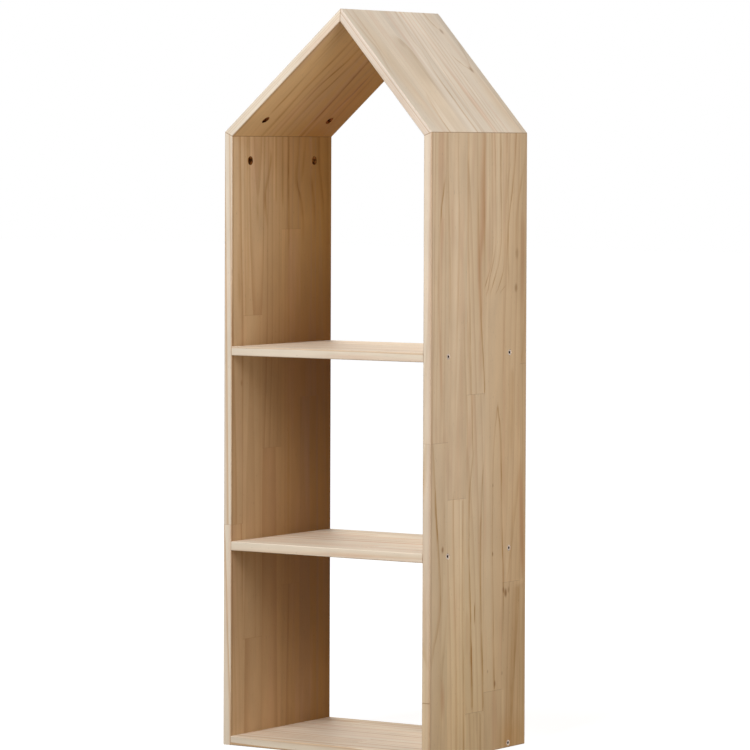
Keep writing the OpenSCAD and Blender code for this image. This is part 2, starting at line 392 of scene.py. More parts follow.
def spot_in_board(tree, along, deep, start, length, offset, joints):
    """All that the finish of a board asks about a point, under plain names.

    Its lay is its place across the board, as the wandering grain has it.
    """
    spot = SimpleNamespace()
    spot.across, spot.run, spot.under = grain_place(tree, along, deep, start)
    cells = stave_cells(tree, spot.across, spot.run, length, offset, joints)
    spot.stave, spot.piece, spot.near_joint, spot.seam = cells
    spot.shift = spot.stave * 3.7 + spot.piece * 7.3
    spot.drift = streaks(tree, spot, wide=80, long=520, detail=1.0, shift=spot.shift) - 0.5
    spot.ripple = streaks(tree, spot, wide=16, long=120, detail=2.0, shift=spot.shift) - 0.5
    spot.lay = spot.across + spot.drift * DRIFT_WIDE + spot.ripple * RIPPLE_WIDE
    return spot


print("staves:", STAVES, "with up to", JOINTS, "finger joints each")

# %% [markdown]
# ## Rings of the log
# Each length of stave gets its own log by chance: where the heart lies, how the stave leans
# to it, and how wide the rings are. The distance from the heart, counted in rings, says how
# far a point is through its year. Summer wood is the dark last part of that year. Blender's
# wave texture makes rings too, but all of them alike and round one heart.

# %% Yearly rings
RING = 11.5
RING_SPREAD = 6
HEART_ASIDE = 120
HEART_DEPTH = 90
HEART_CLEAR = 22
STAVE_SLANT = 0.024
FACE_SLANT = 0.08
SUMMER_STARTS, SUMMER_PEAKS, SUMMER_ENDS = 0.52, 0.93, 0.94
UNEVEN, UNEVEN_WITHIN = 0.8, 22
FIRST_RING = 9
RING_STRONG, RING_LEAST = 0.75, 0.12
TONE_IN_YEAR, TONE_OF_YEAR = 0.16, 0.10


def chance(tree, where):
    """A number from 0 to 1 that is the same wherever the three given values are the same."""
    return tree.add("ShaderNodeTexWhiteNoise", {"noise_dimensions": "3D"}, where)


def three_chances(tree, spot, seed):
    """Three numbers from -0.5 to 0.5 that each length of stave draws for itself."""
    drawn = chance(tree, tree.vector(spot.stave, spot.piece, seed)).out("Color")
    return [share - 0.5 for share in tree.channels(drawn)]


def yearly_rings(tree, spot, length, offset, seed, calm):
    """The rings' summer lines, the slow change of tone in a year, and the length's own tone."""
    aside, depth, lean = three_chances(tree, spot, seed)
    slip, width, tone = three_chances(tree, spot, seed + 0.5)
    heart_aside = (spot.stave + 0.5) * STAVE - offset + aside * HEART_ASIDE
    heart_below = depth * HEART_DEPTH + depth.math("SIGN") * HEART_CLEAR + THICK / 2
    level = spot.run - length / 2
    from_side = spot.lay - heart_aside - level * slip * STAVE_SLANT
    from_face = spot.under - heart_below - level * lean * FACE_SLANT
    reach = (from_side * from_side + from_face * from_face).math("SQRT")
    uneven = (tree.noise(tree.vector(reach / UNEVEN_WITHIN, spot.stave, spot.piece), 1.0) - 0.5) * UNEVEN
    rings = reach / (width * RING_SPREAD + RING) + slip * FIRST_RING + uneven
    share = rings.math("FRACT")
    which = tree.vector(rings.math("FLOOR"), spot.stave, spot.piece + seed * 3)
    strength = chance(tree, which)
    rise = tree.smooth(share, SUMMER_STARTS, SUMMER_PEAKS)
    summer = rise * tree.smooth(share, SUMMER_ENDS, 1.0, 1.0, 0.0)
    ring = summer * (strength * RING_STRONG + RING_LEAST) * calm
    body = tree.smooth(share, 0.0, 0.9) * TONE_IN_YEAR * calm + strength * TONE_OF_YEAR * calm
    return ring, body, tone


print("rings are", RING - RING_SPREAD / 2, "to", RING + RING_SPREAD / 2, "mm wide")

# %% [markdown]
# ## Lines placed one by one
# Chance makes good wood, but not this wood. The strong lines that tell one panel from
# another are drawn: each is a short list of stops along the board, with its place across,
# its strength and its softness. They could be painted on a picture, but then they would be
# as coarse as its pixels. Here a colour ramp again holds the list, with its stops joined by
# a smooth curve. A line fades in on one side and ends sharply on the other, as summer wood
# does, and it leans into the thickness, so it also shows on the edge.

# %% Drawn lines


def drawn_line(tree, across, along, length, stops, sharp):
    """One listed line. Each stop is (along, across, strength, softness)."""
    places = [
        (height / length, (aside / DEPTH, strength, softness / STAVE))
        for height, aside, strength, softness in sorted(stops)
    ]
    settings = {"stops": places, "interpolation": "CARDINAL"}
    middle, strength, softness = tree.channels(tree.add("ShaderNodeValToRGB", settings, along / length))
    beside = across - middle * DEPTH
    fade_in = tree.smooth(beside, softness * -STAVE, 0.0)
    return fade_in * tree.smooth(beside, 0.0, sharp, 1.0, 0.0) * strength


def strongest_line(tree, spot, sighted, length, lines, seed, sharp):
    """The strongest of all the drawn lines at a point, uneven along each of them."""
    fading = tree.noise(tree.vector(spot.across / 12, spot.run / 70, seed)) * 1.6 + 0.2
    drawn = drawn_line(tree, sighted, spot.run, length, lines[0], sharp)
    for stops in lines[1:]:
        drawn = drawn.math("MAXIMUM", drawn_line(tree, sighted, spot.run, length, stops, sharp))
    return drawn * fading


print("a drawn line is a list of (along, across, strength, softness)")

# %% [markdown]
# ## Patches, knots, glue and painted shade
# Old pine is never one tone. Hands, light and resin stain it in broad patches, so a table
# gives each patch a middle, a reach in three directions and a tint that multiplies. Some of
# the patches are painted shade and painted light. The same table paints shade along an arris
# or draws a seam, with a small reach. Knots are small brown ovals, drawn out along the grain.
# Glue shows as a hair-thin line at joints. Along a mitre, which is never quite closed, and
# along the long arrises, a thin dark line is painted shade.

# %% Patches, knots and glue lines
# The line is glue at a joint and at a seam; at a mitre and along the arrises it is painted shade.
GLUE_AT_JOINT, GLUE_AT_SEAM, MITRE_GAP_SHADE = 0.34, 0.15, 0.75
ARRIS_SHADE_WIDE, MITRE_SHADE_WIDE = 1.9, 0.9
KNOT_LONG = 1.7


def tinted(tree, colour, share, tint):
    """The colour with a share of the tint multiplied in."""
    return tree.blend(share, colour, tint + (1,), "MULTIPLY")


def with_washes(tree, spot, colour, washes):
    """Broad patches of tone, some of them painted shade and painted light: (middle, reach, strength, tint),
    along, across and below.
    """
    for middle, reaches, strong, tint in washes:
        offsets = [value - zero for value, zero in zip((spot.run, spot.across, spot.under), middle)]
        spread = tree.vector(*(offset / reach for offset, reach in zip(offsets, reaches)))
        away = tree.add("ShaderNodeVectorMath", {"operation": "LENGTH"}, spread)
        colour = tinted(tree, colour, tree.smooth(away, 0.1, 1.0, strong, 0.0), tint)
    return colour


def with_knots(tree, spot, colour, knots):
    """Small oval knots: (along, across, size, strength)."""
    for knot_along, knot_across, size, strength in knots:
        off_side = (spot.lay - knot_across) / size
        off_end = (spot.run - knot_along) / (size * KNOT_LONG)
        away = (off_side * off_side + off_end * off_end).math("SQRT")
        colour = tree.blend(tree.smooth(away, 0.3, 1.5, strength, 0.0), colour, BROWN + (1,))
    return colour


def with_layers(tree, spot, colour, layers):
    """Thin rings that a sawn edge shows at some depth: (depth, strength)."""
    for depth, strength in layers:
        wander = abs(spot.under + spot.ripple * 2.5 + spot.drift * 4.0 - depth)
        colour = tree.blend(tree.smooth(wander, 0.1, 0.9, strength, 0.0), colour, TAN + (1,))
    return colour


def glue_and_shade_lines(tree, spot, ends, arris_shade):
    """Glue at the joints between the staves, and painted shade at the mitred ends and along the long arrises.
    """
    at_joint = tree.smooth(spot.near_joint, 0.15, 0.6, GLUE_AT_JOINT, 0.0)
    glue_and_shade = at_joint.math("MAXIMUM", tree.smooth(spot.seam, 0.05, 0.3, GLUE_AT_SEAM, 0.0))
    edge = spot.across.math("MINIMUM", spot.across * -1 + DEPTH)
    skin = spot.under.math("MINIMUM", spot.under * -1 + THICK)
    glue_and_shade = glue_and_shade.math("MAXIMUM", close_to(tree, edge, skin, reach=ARRIS_SHADE_WIDE) * arris_shade)
    for plane in ends:
        mitre_gap_shade = close_to(tree, end_distance(tree, *plane), reach=MITRE_SHADE_WIDE)
        glue_and_shade = glue_and_shade.math("MAXIMUM", mitre_gap_shade * MITRE_GAP_SHADE)
    return glue_and_shade


print("a patch of tone is (middle, reach, strength, tint)")

# %% [markdown]
# ## The finish of a board
# One function puts the parts together, from the ground colour up. The board's inner face is
# painted warmer than its outer one, and on some boards warmer still towards the back: this is
# painted shade, for light that has bounced about inside the bays and lost its blue. Fine
# fibres, resin ducts and a soft mottle come last. The same fibres give the bump and the
# roughness, so a lamp that grazes the wood shows its grain. Clear matt oil hardly shines, so
# the specular level is low.

# %% The finish of a board
WAVER_WIDE, LINE_LEAN = 1.8, 0.8
CLOUD_SHARE, BLUSH_SHARE = 0.5, 0.8
FIBRE_TONE, MOTTLE_TONE, LENGTH_TONE, DUCT_TONE = 0.20, 0.24, 0.12, 0.20
WOOD_BUMP = (0.35, 0.0002)  # strength, and height in metres
MATT = 0.56
OIL_SHINE = 0.12


def pine(
    name, start, along, deep, length, seed, offset, joints,
    lines=(), lights=(), blushes=(), knots=(), layers=(), ends=(), washes=(),
    face=0.0, calm=1.0, warm_shade=0.2, deep_warm_shade=0.0, ink=1.0, sharp=2.0, pale=PALE, arris_shade=0.30,
):
    """The wood of one board. Its lines, lights, blushes, knots and washes are listed.

    Face is the depth of the face that they belong to. Calm and ink are the strengths of the
    rings and of the drawn lines. The two arguments between them are the strengths of the two
    warm grounds inside, which are painted shade.
    """
    material, tree = new_finish(name)
    spot = spot_in_board(tree, along, deep, start, length, offset, joints)
    ring, body, tone = yearly_rings(tree, spot, length, offset, seed, calm)

    # Painted shade: the inner face gets a warm ground, and on some boards a warmer one towards the back.
    shaded_inside = tree.smooth(spot.under, 8.0, THICK) * tree.smooth(spot.across, 0.3, 2.0)
    ground = tree.blend(shaded_inside * warm_shade, pale + (1,), WARM_SHADE + (1,))
    ground = tree.blend(shaded_inside * tree.smooth(spot.across, 0.0, DEPTH) * deep_warm_shade, ground, DEEP_WARM_SHADE + (1,))
    colour = tree.blend(ring + body, ground, TAN + (1,))

    waver = tree.noise(tree.vector(spot.across / 7, spot.run / 24, spot.under / 9), 1.0) - 0.5
    sighted = spot.across + spot.ripple * RIPPLE_WIDE + waver * WAVER_WIDE
    sighted = sighted + (spot.under - face) * LINE_LEAN
    if lines:
        drawn = strongest_line(tree, spot, sighted, length, lines, seed, sharp)
        colour = tinted(tree, colour, drawn * ink, SUMMER)
        colour = tinted(tree, colour, tree.smooth(drawn, 0.55, 1.3), RESIN)
    cloud = streaks(tree, spot, wide=26, long=300, detail=2.0, shift=spot.shift)
    colour = tree.blend(tree.smooth(cloud, 0.52, 0.78) * CLOUD_SHARE, colour, ROSE + (1,))
    for stops in lights:
        colour = tinted(tree, colour, drawn_line(tree, sighted, spot.run, length, stops, 3.0), SPRING)
    for stops in blushes:
        share = drawn_line(tree, sighted, spot.run, length, stops, 9.0) * BLUSH_SHARE
        colour = tree.blend(share, colour, ROSE + (1,))
    colour = with_washes(tree, spot, colour, washes)

    fibre = streaks(tree, spot, wide=0.8, long=45, detail=3.0) - 0.5
    mottle = tree.noise(tree.vector(spot.across / 34, spot.run / 90 + spot.shift, spot.under / 34), 3.0) - 0.5
    duct = tree.smooth(streaks(tree, spot, wide=1.7, long=9, detail=1.0), 0.69, 0.78)
    value = fibre * FIBRE_TONE + mottle * MOTTLE_TONE + tone * LENGTH_TONE - duct * DUCT_TONE + 1.0
    colour = tree.blend(1.0, colour, tree.vector(value, value, value), "MULTIPLY")
    colour = with_knots(tree, spot, colour, knots)
    colour = with_layers(tree, spot, colour, layers)
    # Glue at the joints, and painted shade along the mitres and the long arrises.
    glue_and_shade = glue_and_shade_lines(tree, spot, ends, arris_shade)
    colour = tree.blend(glue_and_shade, colour, GLUE_AND_SHADE + (1,))

    height = fibre * 0.35 + ring * 0.5 - duct * 0.5 - glue_and_shade * 0.8
    shader = tree.add(
        "ShaderNodeBsdfPrincipled",
        None,
        Base_Color=colour,
        Roughness=fibre * 0.12 - ring * 0.06 + MATT,
        Specular_IOR_Level=OIL_SHINE,
        Normal=tree.add("ShaderNodeBump", None, *WOOD_BUMP, Height=height),
    )
    finish_with(tree, shader)
    return material


print("pine is ready, in staves of", STAVE, "mm")

# %% [markdown]
# ## The shelf's outline
# Two upright panels, two slopes that meet off the middle, and three level shelves. Panels
# and slopes meet in mitres, which halve the angle between them, so that the grain of one
# board seems to fold into the next. The finish paints a thin line of shade along each mitre,
# for the gap that it never quite closes, and for that it needs the mitre's plane: its normal
# is the difference of the two directions in which the boards leave the corner.

# %% Outline of the shelf
HALF_WIDTH = 0.2
EAVE = 1.0
RISE = 0.198
RIDGE_X = 0.026
SLOPE_LEFT = math.atan2(RISE, HALF_WIDTH + RIDGE_X)
SLOPE_RIGHT = math.atan2(RISE, HALF_WIDTH - RIDGE_X)
UP = (0.0, 0.0, 1.0)
DOWN = (0.0, 0.0, -1.0)
ALONG_LEFT = (math.cos(SLOPE_LEFT), 0.0, math.sin(SLOPE_LEFT))
ALONG_RIGHT = (-math.cos(SLOPE_RIGHT), 0.0, math.sin(SLOPE_RIGHT))


def mitre(at, low, high):
    """Plane that halves the angle between the two boards that leave a corner."""
    normal = (Vector(low).normalized() - Vector(high).normalized()).normalized()
    return tuple(normal), Vector(at)


EAVE_LEFT = mitre((-HALF_WIDTH, 0.0, EAVE), DOWN, ALONG_LEFT)
EAVE_RIGHT = mitre((HALF_WIDTH, 0.0, EAVE), DOWN, ALONG_RIGHT)
RIDGE = mitre((RIDGE_X, 0.0, EAVE + RISE), -Vector(ALONG_LEFT), -Vector(ALONG_RIGHT))


def joint_rows(*rows):
    """Heights of the finger joints, one row for each stave from the front to the back.

    Rows are filled up with heights past the end, where no joint shows.
    """
    return [tuple(list(row) + [PAST_THE_END] * (JOINTS - len(row))) for row in rows]


NO_JOINTS = joint_rows(*[()] * STAVES)
print("slopes:", round(math.degrees(SLOPE_LEFT), 1), "and", round(math.degrees(SLOPE_RIGHT), 1), "degrees")

# %% [markdown]
# ## The right panel
# This face tells the shelf from any other. In its upper half long lines run down, nearly
# parallel, and swing round two knots near the back. In its lower half they are darker and
# end at the finger joints. Each row below is one line of the wood, read downwards.

# %% Lines of the upper half
RIGHT_PANEL_UPPER = [
    [(1000, 48, 0.5, 6), (930, 50, 0.6, 7), (864, 53, 0.6, 8), (795, 56, 0.6, 8), (709, 56, 0.5, 7),
     (640, 53, 0, 6)],
    [(935, 41, 0, 5), (920, 39, 0.8, 6), (880, 31, 0.9, 7), (832, 26, 0.5, 8), (764, 23, 0.5, 8),
     (700, 26, 0.4, 8), (591, 33, 0.4, 7), (505, 33, 0, 6)],
    [(1000, 80, 0.4, 8), (920, 81, 0.4, 8), (859, 84, 0.5, 8), (760, 82, 0.5, 9), (682, 78, 0.4, 8),
     (600, 75, 0.3, 8), (420, 72, 0, 8)],
    [(1000, 111, 0.7, 8), (900, 111, 0.6, 7), (820, 111, 0.6, 7), (719, 116, 0.7, 7), (619, 120, 0.7, 7),
     (500, 126, 0.6, 6), (440, 128, 0, 5)],
    [(730, 102, 0, 5), (680, 100, 0.4, 6), (600, 105, 0.5, 6), (520, 110, 0.5, 6), (420, 111, 0, 5)],
    [(1000, 137, 0.3, 5), (900, 139, 0.5, 6), (818, 143, 0.7, 10), (745, 148, 0.8, 9), (682, 152, 0.8, 8),
     (623, 158, 0.9, 6), (595, 161, 1, 5), (582, 161, 0.9, 4), (577, 161, 0, 4)],
    [(1000, 161, 0.5, 14), (909, 158, 0.8, 14), (849, 160, 0.7, 12), (779, 161, 0.2, 8), (739, 161, 0, 6)],
    [(1000, 180, 0.8, 4), (918, 182, 0.7, 4), (805, 183, 0.5, 4), (779, 176, 0.7, 4), (755, 163, 0.7, 4),
     (745, 159, 0, 4)],
    [(1000, 190, 0.7, 4), (909, 192, 0.6, 4), (818, 193, 0.4, 4), (779, 181, 0.8, 4), (744, 169, 0.8, 4),
     (734, 165, 0, 4)],
    [(999, 208, 1, 5), (909, 209, 0.8, 5), (827, 211, 0.5, 5), (782, 200, 0.7, 4), (748, 182, 0.8, 4),
     (736, 178, 0, 4)],
    [(999, 228, 0.7, 6), (909, 225, 0.6, 6), (809, 223, 0.3, 5), (773, 216, 0.6, 5), (745, 200, 0.7, 4),
     (737, 192, 0, 4)],
    [(960, 240, 0, 4), (940, 235, 0.5, 5), (895, 227, 0.5, 5), (870, 224, 0, 4)],
    [(999, 256, 0.8, 7), (939, 250, 0.7, 7), (889, 241, 0.9, 6), (849, 233, 0.9, 6), (799, 232, 0.6, 6),
     (764, 234, 0.5, 5), (739, 234, 0, 5)],
    [(959, 281, 0, 8), (929, 275, 0.6, 8), (873, 261, 0.5, 8), (819, 257, 0.4, 8), (769, 258, 0, 6)],
    [(752, 224, 0, 6), (750, 221, 0.8, 4), (744, 211, 0.8, 3), (740, 208, 0, 3)],
    [(879, 273, 0, 12), (799, 275, 0.3, 14), (699, 277, 0.3, 14), (650, 277, 0.5, 8), (626, 275, 0.7, 6),
     (621, 275, 0, 6)],
]
print("lines in the upper half:", len(RIGHT_PANEL_UPPER))

# %% Lines of the lower half
RIGHT_PANEL_LOWER = [
    [(566, 203, 0, 3), (556, 203, 0.9, 5), (534, 208, 0.8, 7), (504, 212, 0.7, 6), (439, 214, 0.9, 6),
     (379, 216, 0.8, 7), (319, 219, 0.9, 7), (262, 222, 0.7, 6), (200, 222, 0.5, 6), (150, 220, 0, 6)],
    [(566, 202, 0, 3), (556, 201, 0.9, 4), (530, 196, 0.6, 5), (504, 192, 0.5, 5), (470, 189, 0.5, 5),
     (399, 188, 0.6, 5), (320, 187, 0.5, 5), (250, 190, 0.7, 5), (170, 192, 0.7, 6), (120, 194, 0.9, 6),
     (99, 195, 0.9, 5), (96, 195, 0, 5)],
    [(621, 248, 0, 16), (609, 249, 0.45, 18), (559, 248, 0.5, 18), (499, 246, 0.4, 16), (459, 245, 0, 10)],
    [(520, 6, 0, 5), (500, 8, 0.5, 6), (440, 14, 1, 10), (390, 19, 1, 9), (331, 26, 0.8, 8),
     (271, 31, 0.8, 8), (227, 29, 0.7, 10), (191, 16, 0.6, 10), (164, 8, 0.5, 8), (146, 5, 0, 8)],
    [(240, 48, 0, 6), (200, 46, 0.4, 8), (141, 38, 0.5, 10), (91, 36, 0.6, 9), (42, 34, 0.4, 8),
     (2, 33, 0.3, 8)],
    [(420, 43, 0, 5), (400, 43, 0.35, 6), (330, 44, 0.35, 6), (280, 45, 0, 6)],
    [(430, 69, 0, 5), (412, 69, 0.6, 6), (300, 70, 0.5, 6), (227, 76, 0.5, 6), (136, 80, 0.6, 7),
     (2, 82, 0.7, 8)],
    [(416, 97, 0, 4), (410, 97, 0.8, 6), (300, 96, 0.6, 6), (201, 98, 0.6, 6), (101, 101, 0.7, 7),
     (1, 102, 0.7, 7)],
    [(500, 131, 0, 4), (480, 127, 0.6, 5), (430, 118, 0.8, 7), (350, 116, 0.9, 8), (280, 119, 0.9, 8),
     (200, 123, 0.9, 9), (130, 126, 1, 9), (78, 128, 0.9, 8), (68, 128, 0, 5)],
    [(489, 163, 0, 4), (449, 157, 0.6, 5), (400, 153, 0.8, 6), (318, 151, 0.9, 8), (245, 153, 0.8, 7),
     (150, 158, 1, 8), (91, 160, 1, 6), (71, 160, 0.8, 5), (67, 160, 0, 5)],
    [(248, 133, 0, 3), (240, 133, 0.9, 3), (214, 133, 0.9, 3), (206, 133, 0, 3)],
    [(489, 277, 0, 8), (439, 269, 0.4, 10), (389, 259, 0.5, 12), (329, 247, 0.4, 10), (289, 238, 0.5, 7),
     (271, 233, 0.4, 6), (268, 233, 0, 6)],
    [(263, 271, 0, 24), (259, 270, 0.5, 30), (209, 266, 0.6, 32), (150, 259, 0.7, 30), (80, 252, 0.75, 28),
     (0, 248, 0.8, 26)],
    [(67, 150, 0, 5), (63, 152, 0.6, 6), (1, 152, 0.7, 6)],
    [(66, 132, 0, 5), (62, 132, 0.4, 6), (1, 134, 0.4, 6)],
]
print("lines in the lower half:", len(RIGHT_PANEL_LOWER))

# %% [markdown]
# ## What lies between the lines
# Lights are the pale spring wood between two lines, and blushes are broad rosy lines. They
# are listed in the same way as the lines. A few small knots finish the face.

# %% Lights, blushes and knots of the right panel
RIGHT_PANEL_LIGHTS = [
    [(1000, 76, 0.5, 20), (850, 78, 0.7, 20), (700, 74, 0.5, 16), (600, 72, 0, 12)],
    [(1000, 187, 0.5, 3), (820, 189, 0.5, 3), (770, 174, 0.6, 3), (742, 166, 0, 3)],
    [(1000, 200, 0.5, 4), (820, 201, 0.5, 4), (775, 190, 0.7, 3), (745, 175, 0, 3)],
    [(1000, 169, 0.6, 6), (900, 170, 0.6, 6), (800, 169, 0.5, 6), (640, 168, 0.5, 5), (590, 167, 0, 4)],
    [(414, 91, 0, 16), (410, 91, 0.6, 18), (200, 92, 0.5, 16), (60, 94, 0.2, 12), (0, 94, 0.2, 12)],
    [(350, 240, 0, 18), (310, 237, 0.4, 16), (285, 235, 0.8, 10), (270, 234, 1, 8), (266, 234, 0, 8)],
    [(274, 283, 0, 50), (270, 282, 0.9, 48), (266, 281, 0.9, 46), (264, 281, 0, 44)],
    [(262, 282, 0, 10), (255, 281, 0.6, 10), (150, 272, 0.6, 12), (60, 262, 0.6, 12), (0, 260, 0.5, 10)],
    [(98, 221, 0, 6), (94, 221, 1, 6), (0, 223, 0.6, 6)],
    [(250, 129, 0, 3), (230, 130, 0.6, 3), (100, 135, 0.7, 4), (75, 135, 0, 4)],
    [(67, 106, 0, 5), (62, 106, 1, 4), (0, 108, 0.7, 4)],
    [(67, 147, 0, 5), (62, 147, 0.7, 5), (0, 147, 0.6, 5)],
    [(67, 161, 0, 4), (60, 161, 0.8, 4), (0, 161, 0.6, 4)],
    [(1000, 6, 0.4, 6), (500, 4, 0.6, 4), (0, 4, 0.6, 4)],
]
RIGHT_PANEL_BLUSHES = [
    [(1000, 160, 0.4, 18), (960, 158, 0.6, 20), (859, 157, 0.9, 22), (789, 146, 0.9, 14),
     (719, 149, 0.5, 10), (659, 151, 0, 8)],
    [(880, 33, 0, 8), (850, 33, 0.7, 10), (800, 29, 0.5, 8), (730, 26, 0.3, 8), (600, 32, 0.4, 8),
     (520, 33, 0, 8)],
    [(879, 277, 0, 10), (839, 278, 0.7, 12), (739, 278, 0.6, 12), (679, 278, 0, 10)],
    [(560, 114, 0, 8), (520, 116, 0.5, 10), (440, 112, 0, 8)],
    [(141, 35, 0, 8), (101, 38, 0.8, 9), (62, 37, 0, 8)],
    [(470, 275, 0, 10), (430, 275, 0.8, 12), (300, 280, 0.8, 12), (270, 282, 0, 10)],
]
RIGHT_PANEL_KNOTS = [
    (804, 258, 5.0, 0.35),
    (748, 256, 4.0, 0.55),
    (337, 36, 3.0, 0.7),
    (319, 188, 2.2, 0.7),
    (253, 229, 4.0, 0.8),
    (258, 222, 3.0, 0.7),
    (257, 238, 3.0, 0.45),
    (108, 194, 3.0, 0.6),
    (430, 189, 1.8, 0.5),
    (123, 218, 1.8, 0.4),
    (130, 172, 1.6, 0.4),
]
print("knots on the right panel:", len(RIGHT_PANEL_KNOTS))

# %% [markdown]
# ## Tones of the right panel
# The panel is painted darker towards its back and its foot, as painted shade, and less blue
# at its foot. Its front edge is handled most, so it is greyer and paler in the middle; it is
# darker and rosier towards its outer arris, and it shows a joint of the staves as a fine dark
# line. A patch with a small reach across stays on that edge.

# %% The right panel's finish
RIGHT_PANEL_WASHES = [
    # Painted shade: the first three patches and the one low at the back darken the panel towards its back and
    # its foot. The patch that is less blue lies at the foot.
    ((0, 300, 0), (720, 170, EVERYWHERE), 1.0, AGE_AND_SHADE),
    ((700, 300, 0), (640, 120, EVERYWHERE), 0.6, AGE_AND_SHADE),
    ((0, 90, 0), (190, 170, EVERYWHERE), 0.25, AGE_AND_SHADE),
    ((800, 150, 0), (300, 36, EVERYWHERE), 0.3, AGE_AND_SHADE),
    ((560, 205, 0), (420, 60, EVERYWHERE), 0.35, AGE_AND_SHADE),
    ((850, 145, 0), (420, 48, EVERYWHERE), 0.8, DIM),
    ((800, 275, 0), (330, 50, EVERYWHERE), 0.8, DIM),
    ((170, 262, 0), (170, 50, EVERYWHERE), 0.9, DIM),
    ((500, 75, 0), (EVERYWHERE, 34, EVERYWHERE), 0.9, BRIGHT),
    ((80, 100, 0), (420, 160, EVERYWHERE), 0.9, WARM),
    ((10, 245, 0), (60, 70, EVERYWHERE), 0.7, AGE_AND_SHADE),
    ((500, -1, 7), (EVERYWHERE, 3, EVERYWHERE), 1.0, WORN),
    ((500, -1, 0), (EVERYWHERE, 3, 12), 1.0, ROSY_DARKER),
    ((60, -1, 7), (350, 3, EVERYWHERE), 0.7, AGE_AND_SHADE),
    ((500, 3.3, 0), (EVERYWHERE, 3.4, 5), 1.0, ARRIS_SHADE),
    ((96, -1, 7), (1.5, 3, EVERYWHERE), 1.0, SEAM),
]
right_panel = pine(
    "pine_right",
    start=(HALF_WIDTH, 0, 0),
    along=UP,
    deep=(-1, 0, 0),
    length=1000.0,
    seed=11.0,
    offset=4.0,
    joints=joint_rows((507,), (415,), (68, 580), (97,), (270,), (624,)),
    lines=RIGHT_PANEL_UPPER + RIGHT_PANEL_LOWER,
    lights=RIGHT_PANEL_LIGHTS,
    blushes=RIGHT_PANEL_BLUSHES,
    knots=RIGHT_PANEL_KNOTS,
    ends=(EAVE_RIGHT,),
    washes=RIGHT_PANEL_WASHES,
    calm=0.35,
    warm_shade=0.3,
    ink=0.68,
    pale=PALE_PANEL,
)
paint(nodes["side_panel_right"], right_panel)
print("patches of tone on the right panel:", len(RIGHT_PANEL_WASHES))

# %% [markdown]
# ## The left panel
# Only its inner face and its front edge are in full view, so its lines are drawn for a face
# 15 mm below the outer one. They are soft, because they lie in the shade. Lower down and
# towards the back the wood is drawn deeper in tone, as it is where less daylight gets in.

# %% The left panel's finish
INNER_LEFT_LINES = [
    [(1000, 44, 0.8, 10), (950, 44, 0.7, 10), (900, 44, 0.5, 9), (858, 45, 0.5, 8), (779, 47, 0.4, 8),
     (659, 44, 0, 8)],
    [(975, 108, 0, 6), (960, 111, 0.6, 7), (930, 105, 0.7, 8), (908, 97, 0.8, 9), (885, 95, 0.8, 9),
     (862, 98, 0.6, 8), (840, 102, 0, 6)],
    [(900, 70, 0, 6), (870, 73, 0.5, 8), (840, 74, 0, 8)],
    [(1000, 126, 0.5, 5), (892, 126, 0.4, 5), (880, 126, 0, 5)],
    [(1000, 144, 0.5, 6), (892, 145, 0.6, 7), (870, 146, 0, 6)],
    [(1000, 162, 0.6, 6), (920, 162, 0.9, 7), (860, 163, 0.8, 7), (700, 164, 0.4, 6)],
    [(1000, 193, 0.4, 8), (954, 189, 0.6, 9), (923, 186, 0.8, 10), (904, 192, 0.9, 9), (885, 200, 0.9, 10),
     (858, 205, 0.7, 10), (800, 206, 0, 8)],
    [(1000, 214, 0.3, 7), (960, 208, 0.5, 8), (930, 203, 0.5, 7), (915, 200, 0, 6)],
    [(940, 228, 0, 7), (919, 231, 0.5, 8), (895, 236, 0.8, 8), (860, 240, 0.5, 8), (800, 242, 0, 8)],
    [(1000, 252, 0.7, 8), (954, 253, 0.7, 8), (927, 257, 0.7, 8), (890, 264, 0.7, 9), (850, 268, 0.4, 9),
     (778, 270, 0, 9)],
    [(1000, 276, 0.5, 14), (900, 280, 0.6, 14), (700, 282, 0.5, 14)],
    [(860, 22, 0, 6), (800, 20, 0.4, 8), (740, 22, 0.5, 8), (690, 24, 0, 6)],
]
INNER_LEFT_LIGHTS = [
    [(1000, 55, 0.9, 5), (960, 55, 0.9, 5), (940, 55, 0.3, 5), (880, 56, 0.4, 6), (850, 56, 0, 6)],
    [(1000, 120, 1, 4), (895, 120, 1, 4), (886, 120, 0, 4)],
    [(1000, 156, 0.4, 8), (900, 156, 0.5, 8), (850, 156, 0, 8)],
    [(965, 92, 0, 14), (945, 94, 0.5, 18), (925, 90, 0.4, 16), (905, 84, 0, 12)],
    [(1000, 228, 0.5, 5), (960, 230, 0.6, 6), (920, 227, 0, 6)],
]
INNER_LEFT_WASHES = [
    ((0, 145, THICK), (1100, EVERYWHERE, SKIN), 0.8, DUSK),
    ((628, 290, THICK), (290, 420, SKIN), 0.8, DEEP),
    ((310, 290, THICK), (290, 420, SKIN), 0.5, DEEP),
    ((500, 3.3, THICK), (EVERYWHERE, 3.6, 3), 1.0, ARRIS_SHADE),
    ((980, 160, THICK), (90, 110, SKIN), 1.0, BRIGHT),
    ((880, 80, THICK), (90, 60, SKIN), 0.9, DIM),
]
left_panel = pine(
    "pine_left",
    start=(-HALF_WIDTH, 0, 0),
    along=UP,
    deep=(1, 0, 0),
    length=1000.0,
    seed=23.0,
    offset=22.0,
    joints=joint_rows((360,), (170, 700), (480,), (250, 840), (560,), (330,)),
    lines=INNER_LEFT_LINES,
    lights=INNER_LEFT_LIGHTS,
    knots=[(590, 25, 3.0, 0.5)],
    ends=(EAVE_LEFT,),
    washes=INNER_LEFT_WASHES,
    face=THICK,
    calm=0.8,
    warm_shade=0.5,
    deep_warm_shade=0.9,
    ink=0.65,
    sharp=5.0,
)
paint(nodes["side_panel_left"], left_panel)
print("lines on the left panel:", len(INNER_LEFT_LINES))

# %% [markdown]
# ## The right slope
# The short slope faces the sky and is the palest board. Fine lines run down it side by
# side, and near its back two of them turn round small knots. Its front edge was sawn
# across the rings, so three layers of them show in it.

